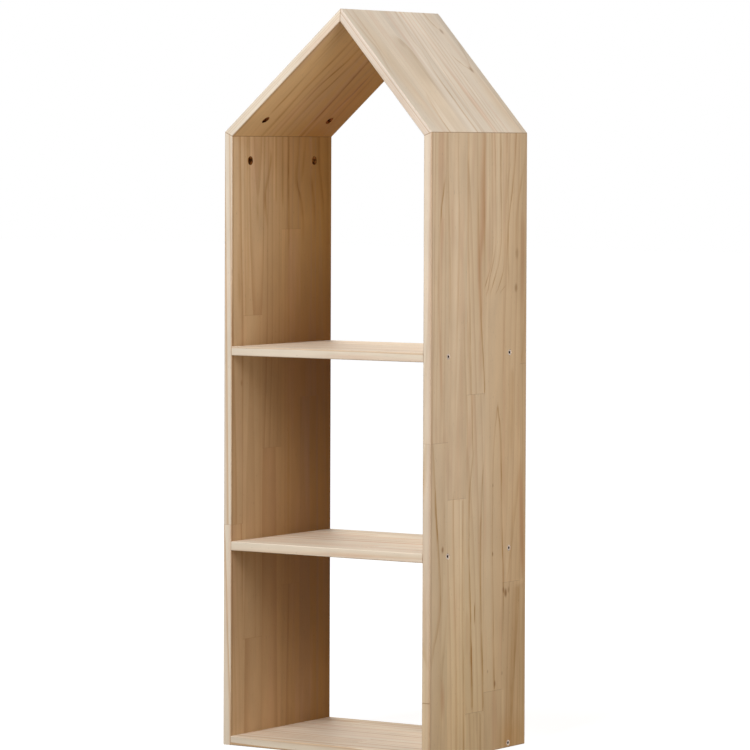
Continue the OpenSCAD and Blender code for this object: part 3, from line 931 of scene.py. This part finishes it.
# %% The right slope's finish
SLOPE_LINES = [
    [(255, 15, 0.5, 9), (201, 18, 0.7, 9), (175, 21, 0.6, 9), (136, 13, 0.5, 8), (100, 12, 0, 8)],
    [(212, 104, 0, 20), (200, 112, 0.4, 34), (180, 119, 0.55, 44), (150, 119, 0.5, 46),
     (110, 117, 0.35, 44), (50, 116, 0, 34)],
    [(200, 112, 0, 6), (186, 117, 0.5, 8), (160, 120, 0.5, 8), (120, 117, 0.4, 7), (90, 114, 0, 6)],
    [(262, 158, 0.4, 5), (247, 156, 0.5, 5), (198, 149, 0.5, 5), (175, 153, 0.4, 5), (136, 144, 0.5, 5),
     (78, 140, 0.7, 5), (0, 138, 0.7, 5)],
    [(262, 171, 0.4, 4), (194, 166, 0.5, 4), (136, 160, 0.4, 4), (78, 155, 0.5, 4), (0, 152, 0.5, 4)],
    [(240, 183, 0.4, 3), (150, 175, 0.5, 3), (70, 168, 0.5, 4), (30, 166, 0, 4)],
    [(230, 195, 0, 3), (170, 190, 0.4, 3), (120, 188, 0.6, 4), (50, 188, 0.5, 4), (0, 187, 0.3, 4)],
    [(264, 207, 0.5, 4), (160, 206, 0.5, 3), (80, 200, 0.4, 3), (0, 198, 0.5, 3)],
    [(250, 217, 0, 3), (200, 217, 0.4, 3), (60, 212, 0.5, 3), (0, 210, 0.3, 3)],
    [(264, 228, 0.3, 3), (150, 226, 0.5, 3), (39, 221, 0.5, 3), (0, 219, 0.3, 3)],
    [(264, 244, 0.6, 5), (240, 247, 0.7, 5), (226, 254, 0.5, 4), (220, 262, 0, 4)],
    [(178, 233, 0, 4), (160, 239, 0.6, 4), (145, 250, 0.7, 4), (138, 259, 0.7, 4), (134, 265, 0, 4)],
    [(135, 262, 0, 4), (142, 266, 0.4, 5), (160, 274, 0.4, 6), (194, 284, 0.4, 6), (210, 287, 0, 5)],
    [(95, 76, 0, 6), (75, 66, 0.3, 8), (32, 58, 0.6, 7), (0, 56, 0.7, 7)],
    [(262, 32, 0.2, 5), (180, 30, 0.3, 6), (120, 28, 0, 6)],
]
SLOPE_LIGHTS = [
    [(220, 136, 0, 10), (180, 135, 0.6, 14), (80, 134, 0.6, 16), (0, 132, 0.6, 14)],
    [(70, 74, 0, 8), (50, 73, 0.7, 10), (0, 70, 0.7, 10)],
    [(262, 164, 0.6, 4), (120, 157, 0.7, 5), (0, 147, 0.4, 4)],
    [(262, 178, 0.6, 4), (120, 170, 0.7, 5), (0, 163, 0.5, 4)],
    [(262, 200, 0.5, 5), (120, 198, 0.6, 5), (0, 194, 0.4, 4)],
    [(240, 223, 0.5, 4), (120, 221, 0.6, 4), (0, 216, 0.4, 4)],
    [(240, 235, 0.5, 5), (120, 233, 0.6, 5), (60, 231, 0, 4)],
]
SLOPE_KNOTS = [
    (138, 263, 4.0, 0.55),
    (222, 258, 3.5, 0.45),
    (192, 108, 6.0, 0.2),
]
SLOPE_WASHES = [
    ((70, 85, 0), (170, 48, EVERYWHERE), 0.4, AGE_AND_SHADE),
    ((120, 34, 0), (190, 32, EVERYWHERE), 0.45, AGE_AND_SHADE),
    ((50, 268, 0), (130, 34, EVERYWHERE), 0.4, AGE_AND_SHADE),
    ((200, 50, 0), (120, 45, EVERYWHERE), 0.15, AGE_AND_SHADE),
    ((110, 10, 0), (130, 24, EVERYWHERE), 0.9, DIM),
    ((160, 90, 0), (90, 40, EVERYWHERE), 0.6, DIM),
    ((250, 190, 0), (200, 80, EVERYWHERE), 1.0, BRIGHT),
    ((250, 170, 0), (120, 60, EVERYWHERE), 0.4, BRIGHT),
    ((130, 137, 0), (230, 22, EVERYWHERE), 1.0, BRIGHT),
]
right_slope = pine(
    "pine_roof_right",
    start=(HALF_WIDTH, 0, EAVE),
    along=ALONG_RIGHT,
    deep=(-math.sin(SLOPE_RIGHT), 0, -math.cos(SLOPE_RIGHT)),
    length=264.0,
    seed=37.0,
    offset=0.0,
    joints=NO_JOINTS,
    lines=SLOPE_LINES,
    lights=SLOPE_LIGHTS,
    knots=SLOPE_KNOTS,
    layers=((4.8, 0.9), (8.6, 0.25), (12.4, 0.3)),
    ends=(EAVE_RIGHT, RIDGE),
    washes=SLOPE_WASHES,
    calm=0.14,
    warm_shade=0.15,
    ink=0.7,
    pale=PALE_ROOF,
)
paint(nodes["roof_board_right"], right_slope)
print("lines on the right slope:", len(SLOPE_LINES))

# %% [markdown]
# ## The left slope
# The long slope is seen from below, through the gable. Its underside is the darkest face
# of the shelf towards the back and towards the eave, where it is painted with shade, and it
# is painted paler near the ridge, as painted light.

# %% The left slope's finish
UNDERSIDE_LINES = [
    [(258, 38, 0.4, 6), (193, 38, 0.4, 6), (170, 38, 0, 5)],
    [(231, 27, 0.4, 5), (200, 28, 0, 5)],
    [(180, 48, 0, 5), (143, 49, 0.6, 6), (100, 50, 0.7, 7), (70, 49, 0.6, 6), (60, 49, 0, 5)],
    [(262, 86, 0.6, 10), (200, 86, 0.8, 10), (170, 83, 0.8, 10), (116, 80, 0.7, 10), (55, 83, 0.7, 9),
     (10, 84, 0.4, 8)],
    [(230, 128, 0.5, 8), (181, 125, 0.8, 9), (143, 115, 0.9, 8), (100, 113, 0.9, 8), (55, 114, 0.9, 8),
     (0, 116, 0.6, 7)],
    [(240, 150, 0.6, 7), (170, 147, 0.9, 8), (128, 141, 0.9, 8), (100, 137, 0.8, 8), (55, 137, 0.7, 8),
     (0, 138, 0.6, 7)],
    [(260, 187, 0.6, 9), (155, 190, 1, 10), (116, 193, 1, 11), (70, 194, 1, 11), (0, 197, 0.8, 10)],
    [(190, 234, 0, 6), (143, 232, 0.9, 7), (116, 232, 1, 8), (89, 229, 0.9, 7), (60, 227, 0.5, 6),
     (39, 225, 0, 5)],
    [(179, 246, 0, 4), (139, 247, 0.7, 5), (59, 251, 0.5, 5), (19, 253, 0, 4)],
    [(240, 107, 0.3, 5), (180, 105, 0.4, 5), (90, 100, 0.3, 5), (0, 98, 0.2, 5)],
    [(120, 154, 0, 6), (70, 157, 0.4, 7), (0, 158, 0.4, 7)],
    [(220, 214, 0.2, 6), (150, 212, 0.4, 7), (60, 211, 0.4, 6), (0, 211, 0.3, 6)],
]
UNDERSIDE_WASHES = [
    # The first patch is painted light near the ridge. The next two are painted shade, towards the back near
    # the eave and all along the eave, and the last is painted shade along the arris.
    ((230, 85, THICK), (190, 110, SKIN), 1.0, PAINTED_LIGHT),
    ((40, 250, THICK), (170, 110, SKIN), 1.0, AGE_AND_SHADE),
    ((0, 145, THICK), (90, EVERYWHERE, SKIN), 1.0, DIM),
    ((150, 3.3, THICK), (EVERYWHERE, 3.6, 3), 1.0, ARRIS_SHADE),
]
left_slope = pine(
    "pine_roof_left",
    start=(-HALF_WIDTH, 0, EAVE),
    along=ALONG_LEFT,
    deep=(math.sin(SLOPE_LEFT), 0, -math.cos(SLOPE_LEFT)),
    length=301.0,
    seed=41.0,
    offset=30.0,
    joints=NO_JOINTS,
    lines=UNDERSIDE_LINES,
    layers=((4.5, 0.4), (8.0, 0.4)),
    ends=(EAVE_LEFT, RIDGE),
    washes=UNDERSIDE_WASHES,
    face=THICK,
    calm=0.3,
    warm_shade=0.85,
    deep_warm_shade=1.0,
    ink=0.75,
    sharp=5.0,
)
paint(nodes["roof_board_left"], left_slope)
print("lines under the left slope:", len(UNDERSIDE_LINES))

# %% [markdown]
# ## The shelves
# The three shelves are seen at a flat angle, so their rings are left to chance. Each has a
# seed of its own and its finger joints at other places, so that no two look alike.

# %% Finish of the shelves
SHELF_START = -0.185
SHELF_TOPS = {"bottom_shelf": 0.015, "middle_shelf": 0.333, "top_shelf": 0.651}

for number, (name, height) in enumerate(SHELF_TOPS.items()):
    shelf = pine(
        "pine_" + name,
        start=(SHELF_START, 0, height),
        along=(1, 0, 0),
        deep=DOWN,
        length=370.0,
        seed=53.0 + 9 * number,
        offset=12.0 + 15 * number,
        joints=joint_rows((), (210 + 30 * number,), (), (), (90 + 40 * number,), ()),
        arris_shade=0.0,
    )
    paint(nodes[name], shelf)
    print(name, "has its finish")

# %% [markdown]
# ## Plated steel and cast zinc
# The screws and bolts are plated steel: bright, with a fine broken shine. The cams are cast
# zinc, given a dark brown that is partly painted shade of the recesses they sit in. In both,
# the shine breaks up in small spots, which a noise at the size of the metal's grain gives.
# Shade in hollows is painted: a second mask darkens the metal there. On a turned piece the
# lathe marks the hollow rows. On a cam it is what lies behind the plane of the front.

# %% Metals
SHADOW = (0.030, 0.012, 0.004)
SPOT_TONE, BASE_TONE = 0.16, 0.92
GRAINS_IN_SMEAR = 14
METAL_BUMP = (0.25, 0.00005)


def behind_front(tree, place, front):
    """One where a place lies a millimetre or more behind a front, a normal and a point."""
    normal, point = front
    level = tree.dot(place, tuple(n * MM for n in normal))
    return tree.smooth(Vector(normal).dot(point) * MM - level, 0.1, 1.2)


def metal(name, colour, rough, grain, blotch_and_glint=0.22, rim=(1.0, 1.0, 1.0, 1.0), front=None):
    """Plated or cast metal. Its shine breaks up in fine spots of that grain, in millimetres."""
    material, tree = new_finish(name)
    place = tree.add("ShaderNodeTexCoord").out("Object")
    spots = tree.noise(place, 3.0, MM / grain)
    smear = tree.noise(place, 2.0, MM / (grain * GRAINS_IN_SMEAR))
    if front is None:
        hollow = tree.add("ShaderNodeAttribute", {"attribute_name": "hollow"}).out("Fac")
    else:
        hollow = behind_front(tree, place, front)
    tone = spots * SPOT_TONE + tree.smooth(smear, 0.38, 0.62) * blotch_and_glint + BASE_TONE - blotch_and_glint * 0.5
    base = tree.blend(1.0, colour + (1,), tree.vector(tone, tone, tone), "MULTIPLY")
    # Painted shade: the hollows are darkened towards SHADOW.
    base = tree.blend(hollow * 0.95, base, SHADOW + (1,))
    shader = tree.add(
        "ShaderNodeBsdfPrincipled",
        None,
        Base_Color=base,
        Metallic=1.0,
        Specular_Tint=rim,
        Roughness=smear * 0.2 + rough,
        Normal=tree.add("ShaderNodeBump", None, *METAL_BUMP, Height=spots),
    )
    finish_with(tree, shader)
    return material


steel = metal("plated_steel", (0.51, 0.42, 0.35), rough=0.34, grain=0.5)
bolt_steel = metal("bolt_steel", (0.56, 0.56, 0.55), rough=0.30, grain=0.6)
for name, obj in nodes.items():
    if "bolt" in name:
        paint(obj, bolt_steel)
print("groups of bolt pieces:", sum("bolt" in name for name in nodes))

# %% [markdown]
# ## Cams
# Each group of cams needs the plane of its own front, behind which the finish paints shade.
# In the panels the cams look sideways. In the slopes they look down into the shelf, at right
# angles to the board. The rim tint colours the shine where the metal is seen at a flat angle,
# and its dark brown is painted shade. The cams' large light and dark blotches are painted glints.

# %% Cams
CAM_FRONT = 0.0145
# The dark brown of the cams and their dark rim tint are partly painted shade of their recesses.
SHADED_ZINC = (0.125, 0.050, 0.017)
SHADED_RIM_TINT = (0.25, 0.125, 0.055, 1.0)

cam_fronts = {}
for side, sign, slope in (("left", -1, SLOPE_LEFT), ("right", 1, SLOPE_RIGHT)):
    sideways = (-float(sign), 0.0, 0.0)
    panel_front = Vector((sign * (HALF_WIDTH - CAM_FRONT), 0.0, 0.0))
    cam_fronts["side_cams_" + side] = (sideways, panel_front)
    inward = Vector((-sign * math.sin(slope), 0.0, -math.cos(slope)))
    slope_front = Vector((sign * HALF_WIDTH, 0.0, EAVE)) + inward * CAM_FRONT
    cam_fronts["roof_cams_" + side] = (tuple(inward), slope_front)
for name, front in cam_fronts.items():
    # The large blotches paint glints on the cams.
    zinc = metal("cast_zinc_" + name, SHADED_ZINC, rough=0.36, grain=0.35, blotch_and_glint=1.7, rim=SHADED_RIM_TINT, front=front)
    paint(nodes[name], zinc)
print("groups of cams:", len(cam_fronts))

# %% [markdown]
# ## Beech
# The dowels are beech, which is harder than pine. The pine's rings would be far too coarse
# on a 6 mm dowel, so it gets a finish of its own: short dark flecks along the grain.

# %% Beech
FLECKS = (150.0, 1500.0, 1500.0)


def beech(name):
    """Turned beech: fine flecks along the dowel and hardly any rings."""
    material, tree = new_finish(name)
    place = tree.add("ShaderNodeTexCoord").out("Object")
    stretched = tree.add("ShaderNodeVectorMath", {"operation": "MULTIPLY"}, place, FLECKS)
    fleck = tree.noise(stretched, 3.0)
    light, dark = linear(205, 164, 120) + (1,), linear(170, 124, 82) + (1,)
    colour = tree.blend(tree.smooth(fleck, 0.35, 0.7), light, dark)
    normal = tree.add("ShaderNodeBump", None, 0.3, 0.0001, Height=fleck)
    shader = tree.add("ShaderNodeBsdfPrincipled", None, Base_Color=colour, Roughness=0.62, Normal=normal)
    finish_with(tree, shader)
    return material


dowel_wood = beech("dowel_beech")
print("finish of the dowels:", dowel_wood.name)

# %% [markdown]
# ## Turned and threaded pieces
# Fifteen pieces carry a thread or flutes: twelve screws and the three dowels of the ridge.
# On a lathe such a piece comes from a profile, so here one set of Geometry Nodes does the
# same. Cut from cylinders, each new size would need new cuts. Here the sizes are named
# inputs, so the same tree could make a longer or a thicker screw.

# %% A recipe with named sizes


def new_recipe(name, sizes):
    """A Geometry Nodes tree with named inputs for its sizes, and those inputs as values."""
    group = bpy.data.node_groups.new(name, "GeometryNodeTree")
    group.interface.new_socket("Geometry", in_out="OUTPUT", socket_type="NodeSocketGeometry")
    for label, value in sizes.items():
        kind = "NodeSocketVector" if isinstance(value, Vector) else "NodeSocketFloat"
        group.interface.new_socket(label, in_out="INPUT", socket_type=kind).default_value = value
    tree = Tree(group)
    source = group.nodes.new("NodeGroupInput")
    return tree, {label: Wire(tree, source.outputs[label]) for label in sizes}


def make_from(recipe, name, settings):
    """Runs a recipe with its inputs set, and keeps the result as a plain mesh."""
    blank = bpy.data.objects.new(name + "_blank", bpy.data.meshes.new(name + "_blank"))
    bpy.context.scene.collection.objects.link(blank)
    modifier = blank.modifiers.new("recipe", "NODES")
    modifier.node_group = recipe.tree
    for socket in recipe.tree.interface.items_tree:
        if socket.in_out == "INPUT" and socket.name in settings:
            modifier[socket.identifier] = settings[socket.name]
    evaluated = blank.evaluated_get(bpy.context.evaluated_depsgraph_get())
    mesh = bpy.data.meshes.new_from_object(evaluated)
    piece = bpy.data.objects.new(name, mesh)
    bpy.context.scene.collection.objects.link(piece)
    bpy.data.objects.remove(blank)
    return piece


print("recipes are ready to be written")

# %% [markdown]
# ## The lathe
# A flat grid of points is rolled round the Z axis, and each row of it gets its radius and
# its height from the profile. A Screw modifier would turn a profile too, but here every
# point can still be moved, so a thread or a flute is one more sum. The seam and the two
# ends are then merged, so that the piece is one closed skin. Sharp corners stay sharp, and
# the rest is shaded smooth.

# %% The lathe
SHARP = 0.6
MERGE = 0.00001


def turned(tree, profile, around, reshape, hollow_from=1000.0):
    """Rolls a grid into a turned skin. The profile's stops are (row, radius, height).

    Rows past hollow_from get the attribute hollow, where the finish paints shade.
    """
    rows = profile[-1][0] + 1
    sheet = tree.add("GeometryNodeMeshGrid", None, 1.0, 1.0, around + 1, rows)
    place = tree.add("GeometryNodeInputPosition")
    flat = tree.add("ShaderNodeSeparateXYZ", None, place)
    turn = (flat + 0.5) * math.tau
    row = (flat.out("Y") + 0.5) * (rows - 1)
    radius, height = profile[0][1:]
    for (first, thin, low), (last, thick, high) in zip(profile, profile[1:]):
        share = tree.add("ShaderNodeMapRange", None, row, first, last, 0.0, 1.0)
        radius = share * (thick - thin) + radius
        height = share * (high - low) + height
    radius = reshape(turn, row, radius, height)
    rolled = tree.vector(turn.math("COSINE") * radius, turn.math("SINE") * radius, height)
    mark = {"Name": "hollow", "Value": row > hollow_from}
    marked = tree.add("GeometryNodeStoreNamedAttribute", None, Geometry=sheet, **mark)
    skin = tree.add("GeometryNodeSetPosition", None, Geometry=marked, Position=rolled)
    closed = tree.add("GeometryNodeMergeByDistance", None, Geometry=skin, Distance=MERGE)
    shade = "GeometryNodeSetShadeSmooth"
    smooth = tree.add(shade, {"domain": "FACE"}, Geometry=closed, Shade_Smooth=True)
    corner = tree.add("GeometryNodeInputMeshEdgeAngle") > SHARP
    return tree.add(shade, {"domain": "EDGE"}, Geometry=smooth, Selection=corner, Shade_Smooth=False)


print("corners sharper than", round(math.degrees(SHARP)), "degrees stay sharp")

# %% [markdown]
# ## A row of copies
# Screws and dowels sit in rows along the depth of the shelf. A mesh line gives the places.
# A loop in Python could set them too, but this way the row is part of the recipe. Each copy
# is laid along its hole and then spun by chance about its own axis, because no hand stops
# every screw at the same angle. The seed is fixed, so the spin never changes.

# %% Copies in a row
SPIN_SEED = 7
FIXING_Y = 0.093
ORIGIN = Vector((0, 0, 0))
ROW_INPUTS = {"First": ORIGIN, "Last": ORIGIN, "Lie": ORIGIN}


def set_in_row(tree, piece, size, count, spin, material):
    """Sets copies of a piece from the first point to the last, each spun by chance."""
    ends = {"Start_Location": size["First"], "Offset": size["Last"]}
    spots = tree.add("GeometryNodeMeshLine", {"mode": "END_POINTS"}, Count=count, **ends)
    laid = {"Instance": piece, "Rotation": size["Lie"]}
    copies = tree.add("GeometryNodeInstanceOnPoints", None, Points=spots, **laid)
    floats = {"data_type": "FLOAT"}
    by_chance = tree.add("FunctionNodeRandomValue", floats, Min=0.0, Max=spin, Seed=SPIN_SEED)
    about = {"Rotation": tree.vector(0.0, 0.0, by_chance), "Local_Space": True}
    spun = tree.add("GeometryNodeRotateInstances", None, Instances=copies, **about)
    real = tree.add("GeometryNodeRealizeInstances", None, spun)
    dressed = tree.add("GeometryNodeSetMaterial", None, Geometry=real, Material=material)
    tree.add("NodeGroupOutput", None, dressed)


def take_place(piece, node):
    """Puts a finished piece on the body in place of its node, and counts its triangles."""
    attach(piece, "root")
    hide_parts(node)
    print(node, "triangles:", sum(len(face.vertices) - 2 for face in piece.data.polygons))


def middle_of(node):
    """Middle and size of a node's box."""
    low, high = (Vector(corner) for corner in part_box(node))
    return (low + high) / 2, high - low


def row_ends(x, z):
    """The two ends of a row of fixings along the depth."""
    return {"First": Vector((x, -FIXING_Y, z)), "Last": Vector((x, FIXING_Y, z))}


print("fixings stand", round(2 * FIXING_Y, 3), "m apart")

# %% [markdown]
# ## Shelf screws
# A shelf hangs on two screws at each end. A head with a countersink pulls flush into the
# panel, and a socket for a hexagon key lets it be tightened hard without slipping. Only the
# head shows, but the thread is part of the piece.

# %% Profile of the screw
THREAD_ROWS = 112
SOCKET_ROW = 5 + THREAD_ROWS
CORNER = 0.0002
SOCKET_MOUTH = 0.66
SOCKET_LEAD = 0.0004
SOCKET_FOOT = 0.0003

screw_sizes = {
    "Length": 0.05,
    "Thread": 0.0063,
    "Core": 0.0046,
    "Head": 0.01,
    "Cone": 0.0026,
    "Socket": 0.004,
    "Socket Depth": 0.003,
}
screw_recipe, screw_size = new_recipe("screw recipe", screw_sizes | ROW_INPUTS)


def screw_profile(size):
    """Rows of the screw from its tip, up the thread and the cone, and down into the socket."""
    tip = size["Thread"] / 2
    rim = size["Socket"] * SOCKET_MOUTH
    return [
        (0, 0.0, -size["Length"]),
        (1, tip / 2, -size["Length"]),
        (5, size["Thread"] / 2, tip - size["Length"]),
        (1 + SOCKET_ROW, size["Thread"] / 2, -size["Cone"]),
        (2 + SOCKET_ROW, size["Head"] / 2 - CORNER, -CORNER),
        (3 + SOCKET_ROW, size["Head"] / 2 - CORNER * 1.5, 0.0),
        (4 + SOCKET_ROW, rim, 0.0),
        (5 + SOCKET_ROW, size["Socket"] / 2, -SOCKET_LEAD),
        (6 + SOCKET_ROW, size["Socket"] / 2, -size["Socket Depth"] + SOCKET_FOOT),
        (7 + SOCKET_ROW, 0.0, -size["Socket Depth"]),
    ]


print("rows in the screw's profile:", screw_profile(screw_sizes)[-1][0] + 1)

# %% [markdown]
# ## The thread
# A thread is a groove that climbs by its pitch with every turn. It could be swept along a
# helix and cut out, which is slow and leaves a ragged end. But its depth at a point follows
# from two numbers: how far along the screw the point is, and how far round. The socket's
# six flats come in the same way: seen from the axis, a flat wall stands nearest in its
# middle and farther off towards its corners.

# %% Screws
PITCH = 0.0028
THREAD_END = -0.0125
SHANK = -0.0105
FIRST_THREADED_ROW = 4.5
FIRST_HOLLOW_ROW = SOCKET_ROW + 4.5
SIXTH = math.tau / 6
SCREW_SIDES = 24


def cut_thread(turn, row, radius, height):
    """Takes the valleys of the thread from the shank, and gives the socket its six flats."""
    lap = (height / PITCH - turn / math.tau).math("FRACT")
    ridge = (1.0 - abs(lap - 0.5) * 3.0).math("MAXIMUM", 0.0)
    depth = (screw_size["Thread"] - screw_size["Core"]) / 2
    below_shank = screw_recipe.smooth(height, THREAD_END, SHANK, 1.0, 0.0)
    threaded = below_shank * (row > FIRST_THREADED_ROW)
    flats = (turn.math("MODULO", SIXTH) - SIXTH / 2).math("COSINE")
    hexagon = (row > FIRST_HOLLOW_ROW) * (1.0 / flats - 1.0) + 1.0
    return (radius - depth * threaded * (1.0 - ridge)) * hexagon


screw = turned(screw_recipe, screw_profile(screw_size), SCREW_SIDES, cut_thread, FIRST_HOLLOW_ROW)
set_in_row(screw_recipe, screw, screw_size, 2, SIXTH, steel)

for node in [name for name in nodes if "screws" in name]:
    middle, extent = middle_of(node)
    side = 1 if middle.x > 0 else -1
    settings = row_ends(middle.x + side * extent.x / 2, middle.z)
    settings |= {"Length": extent.x, "Head": extent.z, "Lie": Vector((0.0, side * math.pi / 2, 0.0))}
    take_place(make_from(screw_recipe, node + "_threaded", settings), node)

# %% [markdown]
# ## Ridge dowels
# The ridge shows no metal, so its mitre is glued over three beech dowels. Pressed flutes
# along a dowel let the air and the spare glue out of the hole. They come from the same
# lathe, with a wave round the radius in place of a thread.

# %% Dowels
FLUTES = 12
FLUTE_DEPTH = 0.00025
FLUTED_ROWS = (1.5, 6.5)
CHAMFER = 0.0007
DOWEL_SIDES = 72

dowel_sizes = {"Length": 0.014, "Diameter": 0.006}
dowel_recipe, dowel_size = new_recipe("dowel recipe", dowel_sizes | ROW_INPUTS)


def press_flutes(turn, row, radius, height):
    """Presses shallow flutes into the straight part of the dowel."""
    first, last = FLUTED_ROWS
    wave = abs((turn * FLUTES / 2).math("SINE"))
    return radius - (1.0 - wave) * FLUTE_DEPTH * (row > first) * (row < last)


half_length, radius = dowel_size["Length"] / 2, dowel_size["Diameter"] / 2
dowel_profile = [
    (0, 0.0, -half_length),
    (1, radius - CHAMFER, -half_length),
    (2, radius, CHAMFER - half_length),
    (6, radius, half_length - CHAMFER),
    (7, radius - CHAMFER, half_length),
    (8, 0.0, half_length),
]
dowel = turned(dowel_recipe, dowel_profile, DOWEL_SIDES, press_flutes)
set_in_row(dowel_recipe, dowel, dowel_size, 3, math.tau, dowel_wood)

middle, extent = middle_of("ridge_dowels")
tilt = math.pi / 2 - (SLOPE_LEFT - SLOPE_RIGHT) / 2
settings = row_ends(middle.x, middle.z) | {"Lie": Vector((0.0, tilt, 0.0))}
take_place(make_from(dowel_recipe, "ridge_dowels_fluted", settings), "ridge_dowels")

# %% [markdown]
# ## A plain studio
# A large soft lamp stands in front of the shelf and above it, so each board shades the one
# below. A second, warmer lamp shines from the right on the outer face. A weak one low in
# front stands for the light that a pale floor throws back up, and one behind keeps the back
# from going black.

# %% Lamps
LOOK_AT = Vector((0.0, 0.0, 0.8))


def soft_lamp(name, turn, rise, distance, width, colour):
    """A square lamp that looks at the shelf. A colour of 1 lights it as full daylight does."""
    around, above = math.radians(turn), math.radians(rise)
    flat = math.cos(above)
    back = Vector((math.sin(around) * flat, -math.cos(around) * flat, math.sin(above)))
    lamp = bpy.data.lights.new(name, "AREA")
    strongest = max(colour)
    lamp.size = width
    lamp.color = tuple(c / strongest for c in colour)
    lamp.energy = strongest * (math.pi * distance) ** 2
    stand = bpy.data.objects.new(name, lamp)
    bpy.context.scene.collection.objects.link(stand)
    facing = back.to_track_quat("Z", "Y").to_matrix().to_4x4()
    stand.matrix_world = Matrix.Translation(LOOK_AT + back * distance) @ facing
    stand.visible_camera = False
    print(name, "energy:", round(lamp.energy, 1), "W")


soft_lamp("front_lamp", turn=0.0, rise=39.0, distance=4.2, width=1.7, colour=(0.84, 0.90, 1.01))
soft_lamp("side_lamp", turn=72.0, rise=5.0, distance=2.0, width=1.2, colour=(0.430, 0.404, 0.370))
soft_lamp("low_lamp", turn=20.0, rise=-15.0, distance=3.0, width=1.2, colour=(0.13, 0.13, 0.13))
soft_lamp("back_lamp", turn=-130.0, rise=30.0, distance=3.0, width=1.4, colour=(0.48, 0.45, 0.38))

# %% [markdown]
# ## The room
# The room itself is dim: inside the bays nearly all the light has already bounced off the
# boards, and each bounce takes blue away, which makes them glow brown. The camera sees
# white where it looks past the shelf, and so does a ray by way of metal or glass.

# %% World
ROOM = (0.125, 0.088, 0.032, 1.0)
WHITE = (1.0, 1.0, 1.0, 1.0)


def sees_white(tree):
    """One for rays that look at the background: from the camera, or by way of metal or glass."""
    path = tree.add("ShaderNodeLightPath")
    seen = path.out("Is Camera Ray").math("MAXIMUM", path.out("Is Glossy Ray"))
    return seen.math("MAXIMUM", path.out("Is Transmission Ray"))


world = bpy.data.worlds.new("studio")
world.use_nodes = True
world.node_tree.nodes.clear()
room_tree = Tree(world.node_tree)
dim = room_tree.add("ShaderNodeBackground", None, ROOM, 1.0)
white = room_tree.add("ShaderNodeBackground", None, WHITE, 1.0)
both = room_tree.add("ShaderNodeMixShader", None, sees_white(room_tree), dim, white)
room_tree.add("ShaderNodeOutputWorld", None, Surface=both)
bpy.context.scene.world = world
print("light of the room:", ROOM[:3])

# %% [markdown]
# ## The floor
# A wide plain floor lies just under the feet. It glows, so that it is as white as the world
# round it, a little less so near the shelf, and on top of that glow it shows the shelf's
# soft shadow. The floor gives the wood no light and blocks none: the low lamp, which is
# half under it, already stands for the light that it would throw back.

# %% Floor
FLOOR_HALF = 30.0
FLOOR_Z = -0.0004
FLOOR_GREY = (0.30, 0.29, 0.27, 1.0)
FLOOR_TINT = (0.975, 0.985, 1.01)
NEAR, FAR = 0.3, 3.0
GLOW_NEAR, GLOW_FAR = 0.88, 1.0
CORNERS = ((-1, -1), (1, -1), (1, 1), (-1, 1))


def floor_finish():
    """A matt floor that the camera sees as white, but for the shelf's shadow."""
    material, tree = new_finish("floor")
    shaded = tree.add("ShaderNodeBsdfDiffuse", None, FLOOR_GREY)
    place = tree.add("ShaderNodeTexCoord").out("Object")
    away = tree.add("ShaderNodeVectorMath", {"operation": "LENGTH"}, place).out("Value")
    glow = tree.smooth(away, NEAR, FAR, GLOW_NEAR, GLOW_FAR)
    tinted_glow = tree.vector(*(glow * share for share in FLOOR_TINT))
    lit = tree.add("ShaderNodeEmission", None, tinted_glow, 1.0)
    seen = tree.add("ShaderNodeAddShader", None, shaded, lit)
    shader = tree.add("ShaderNodeMixShader", None, sees_white(tree), shaded, seen)
    finish_with(tree, shader)
    return material


floor_mesh = bpy.data.meshes.new("floor")
floor_mesh.from_pydata([(x * FLOOR_HALF, y * FLOOR_HALF, FLOOR_Z) for x, y in CORNERS], [], [(0, 1, 2, 3)])
floor_mesh.update()
floor_mesh.materials.append(floor_finish())
floor = bpy.data.objects.new("floor", floor_mesh)
bpy.context.scene.collection.objects.link(floor)
floor.visible_diffuse = False
floor.visible_shadow = False
print("floor:", 2 * FLOOR_HALF, "m wide")

# %% [markdown]
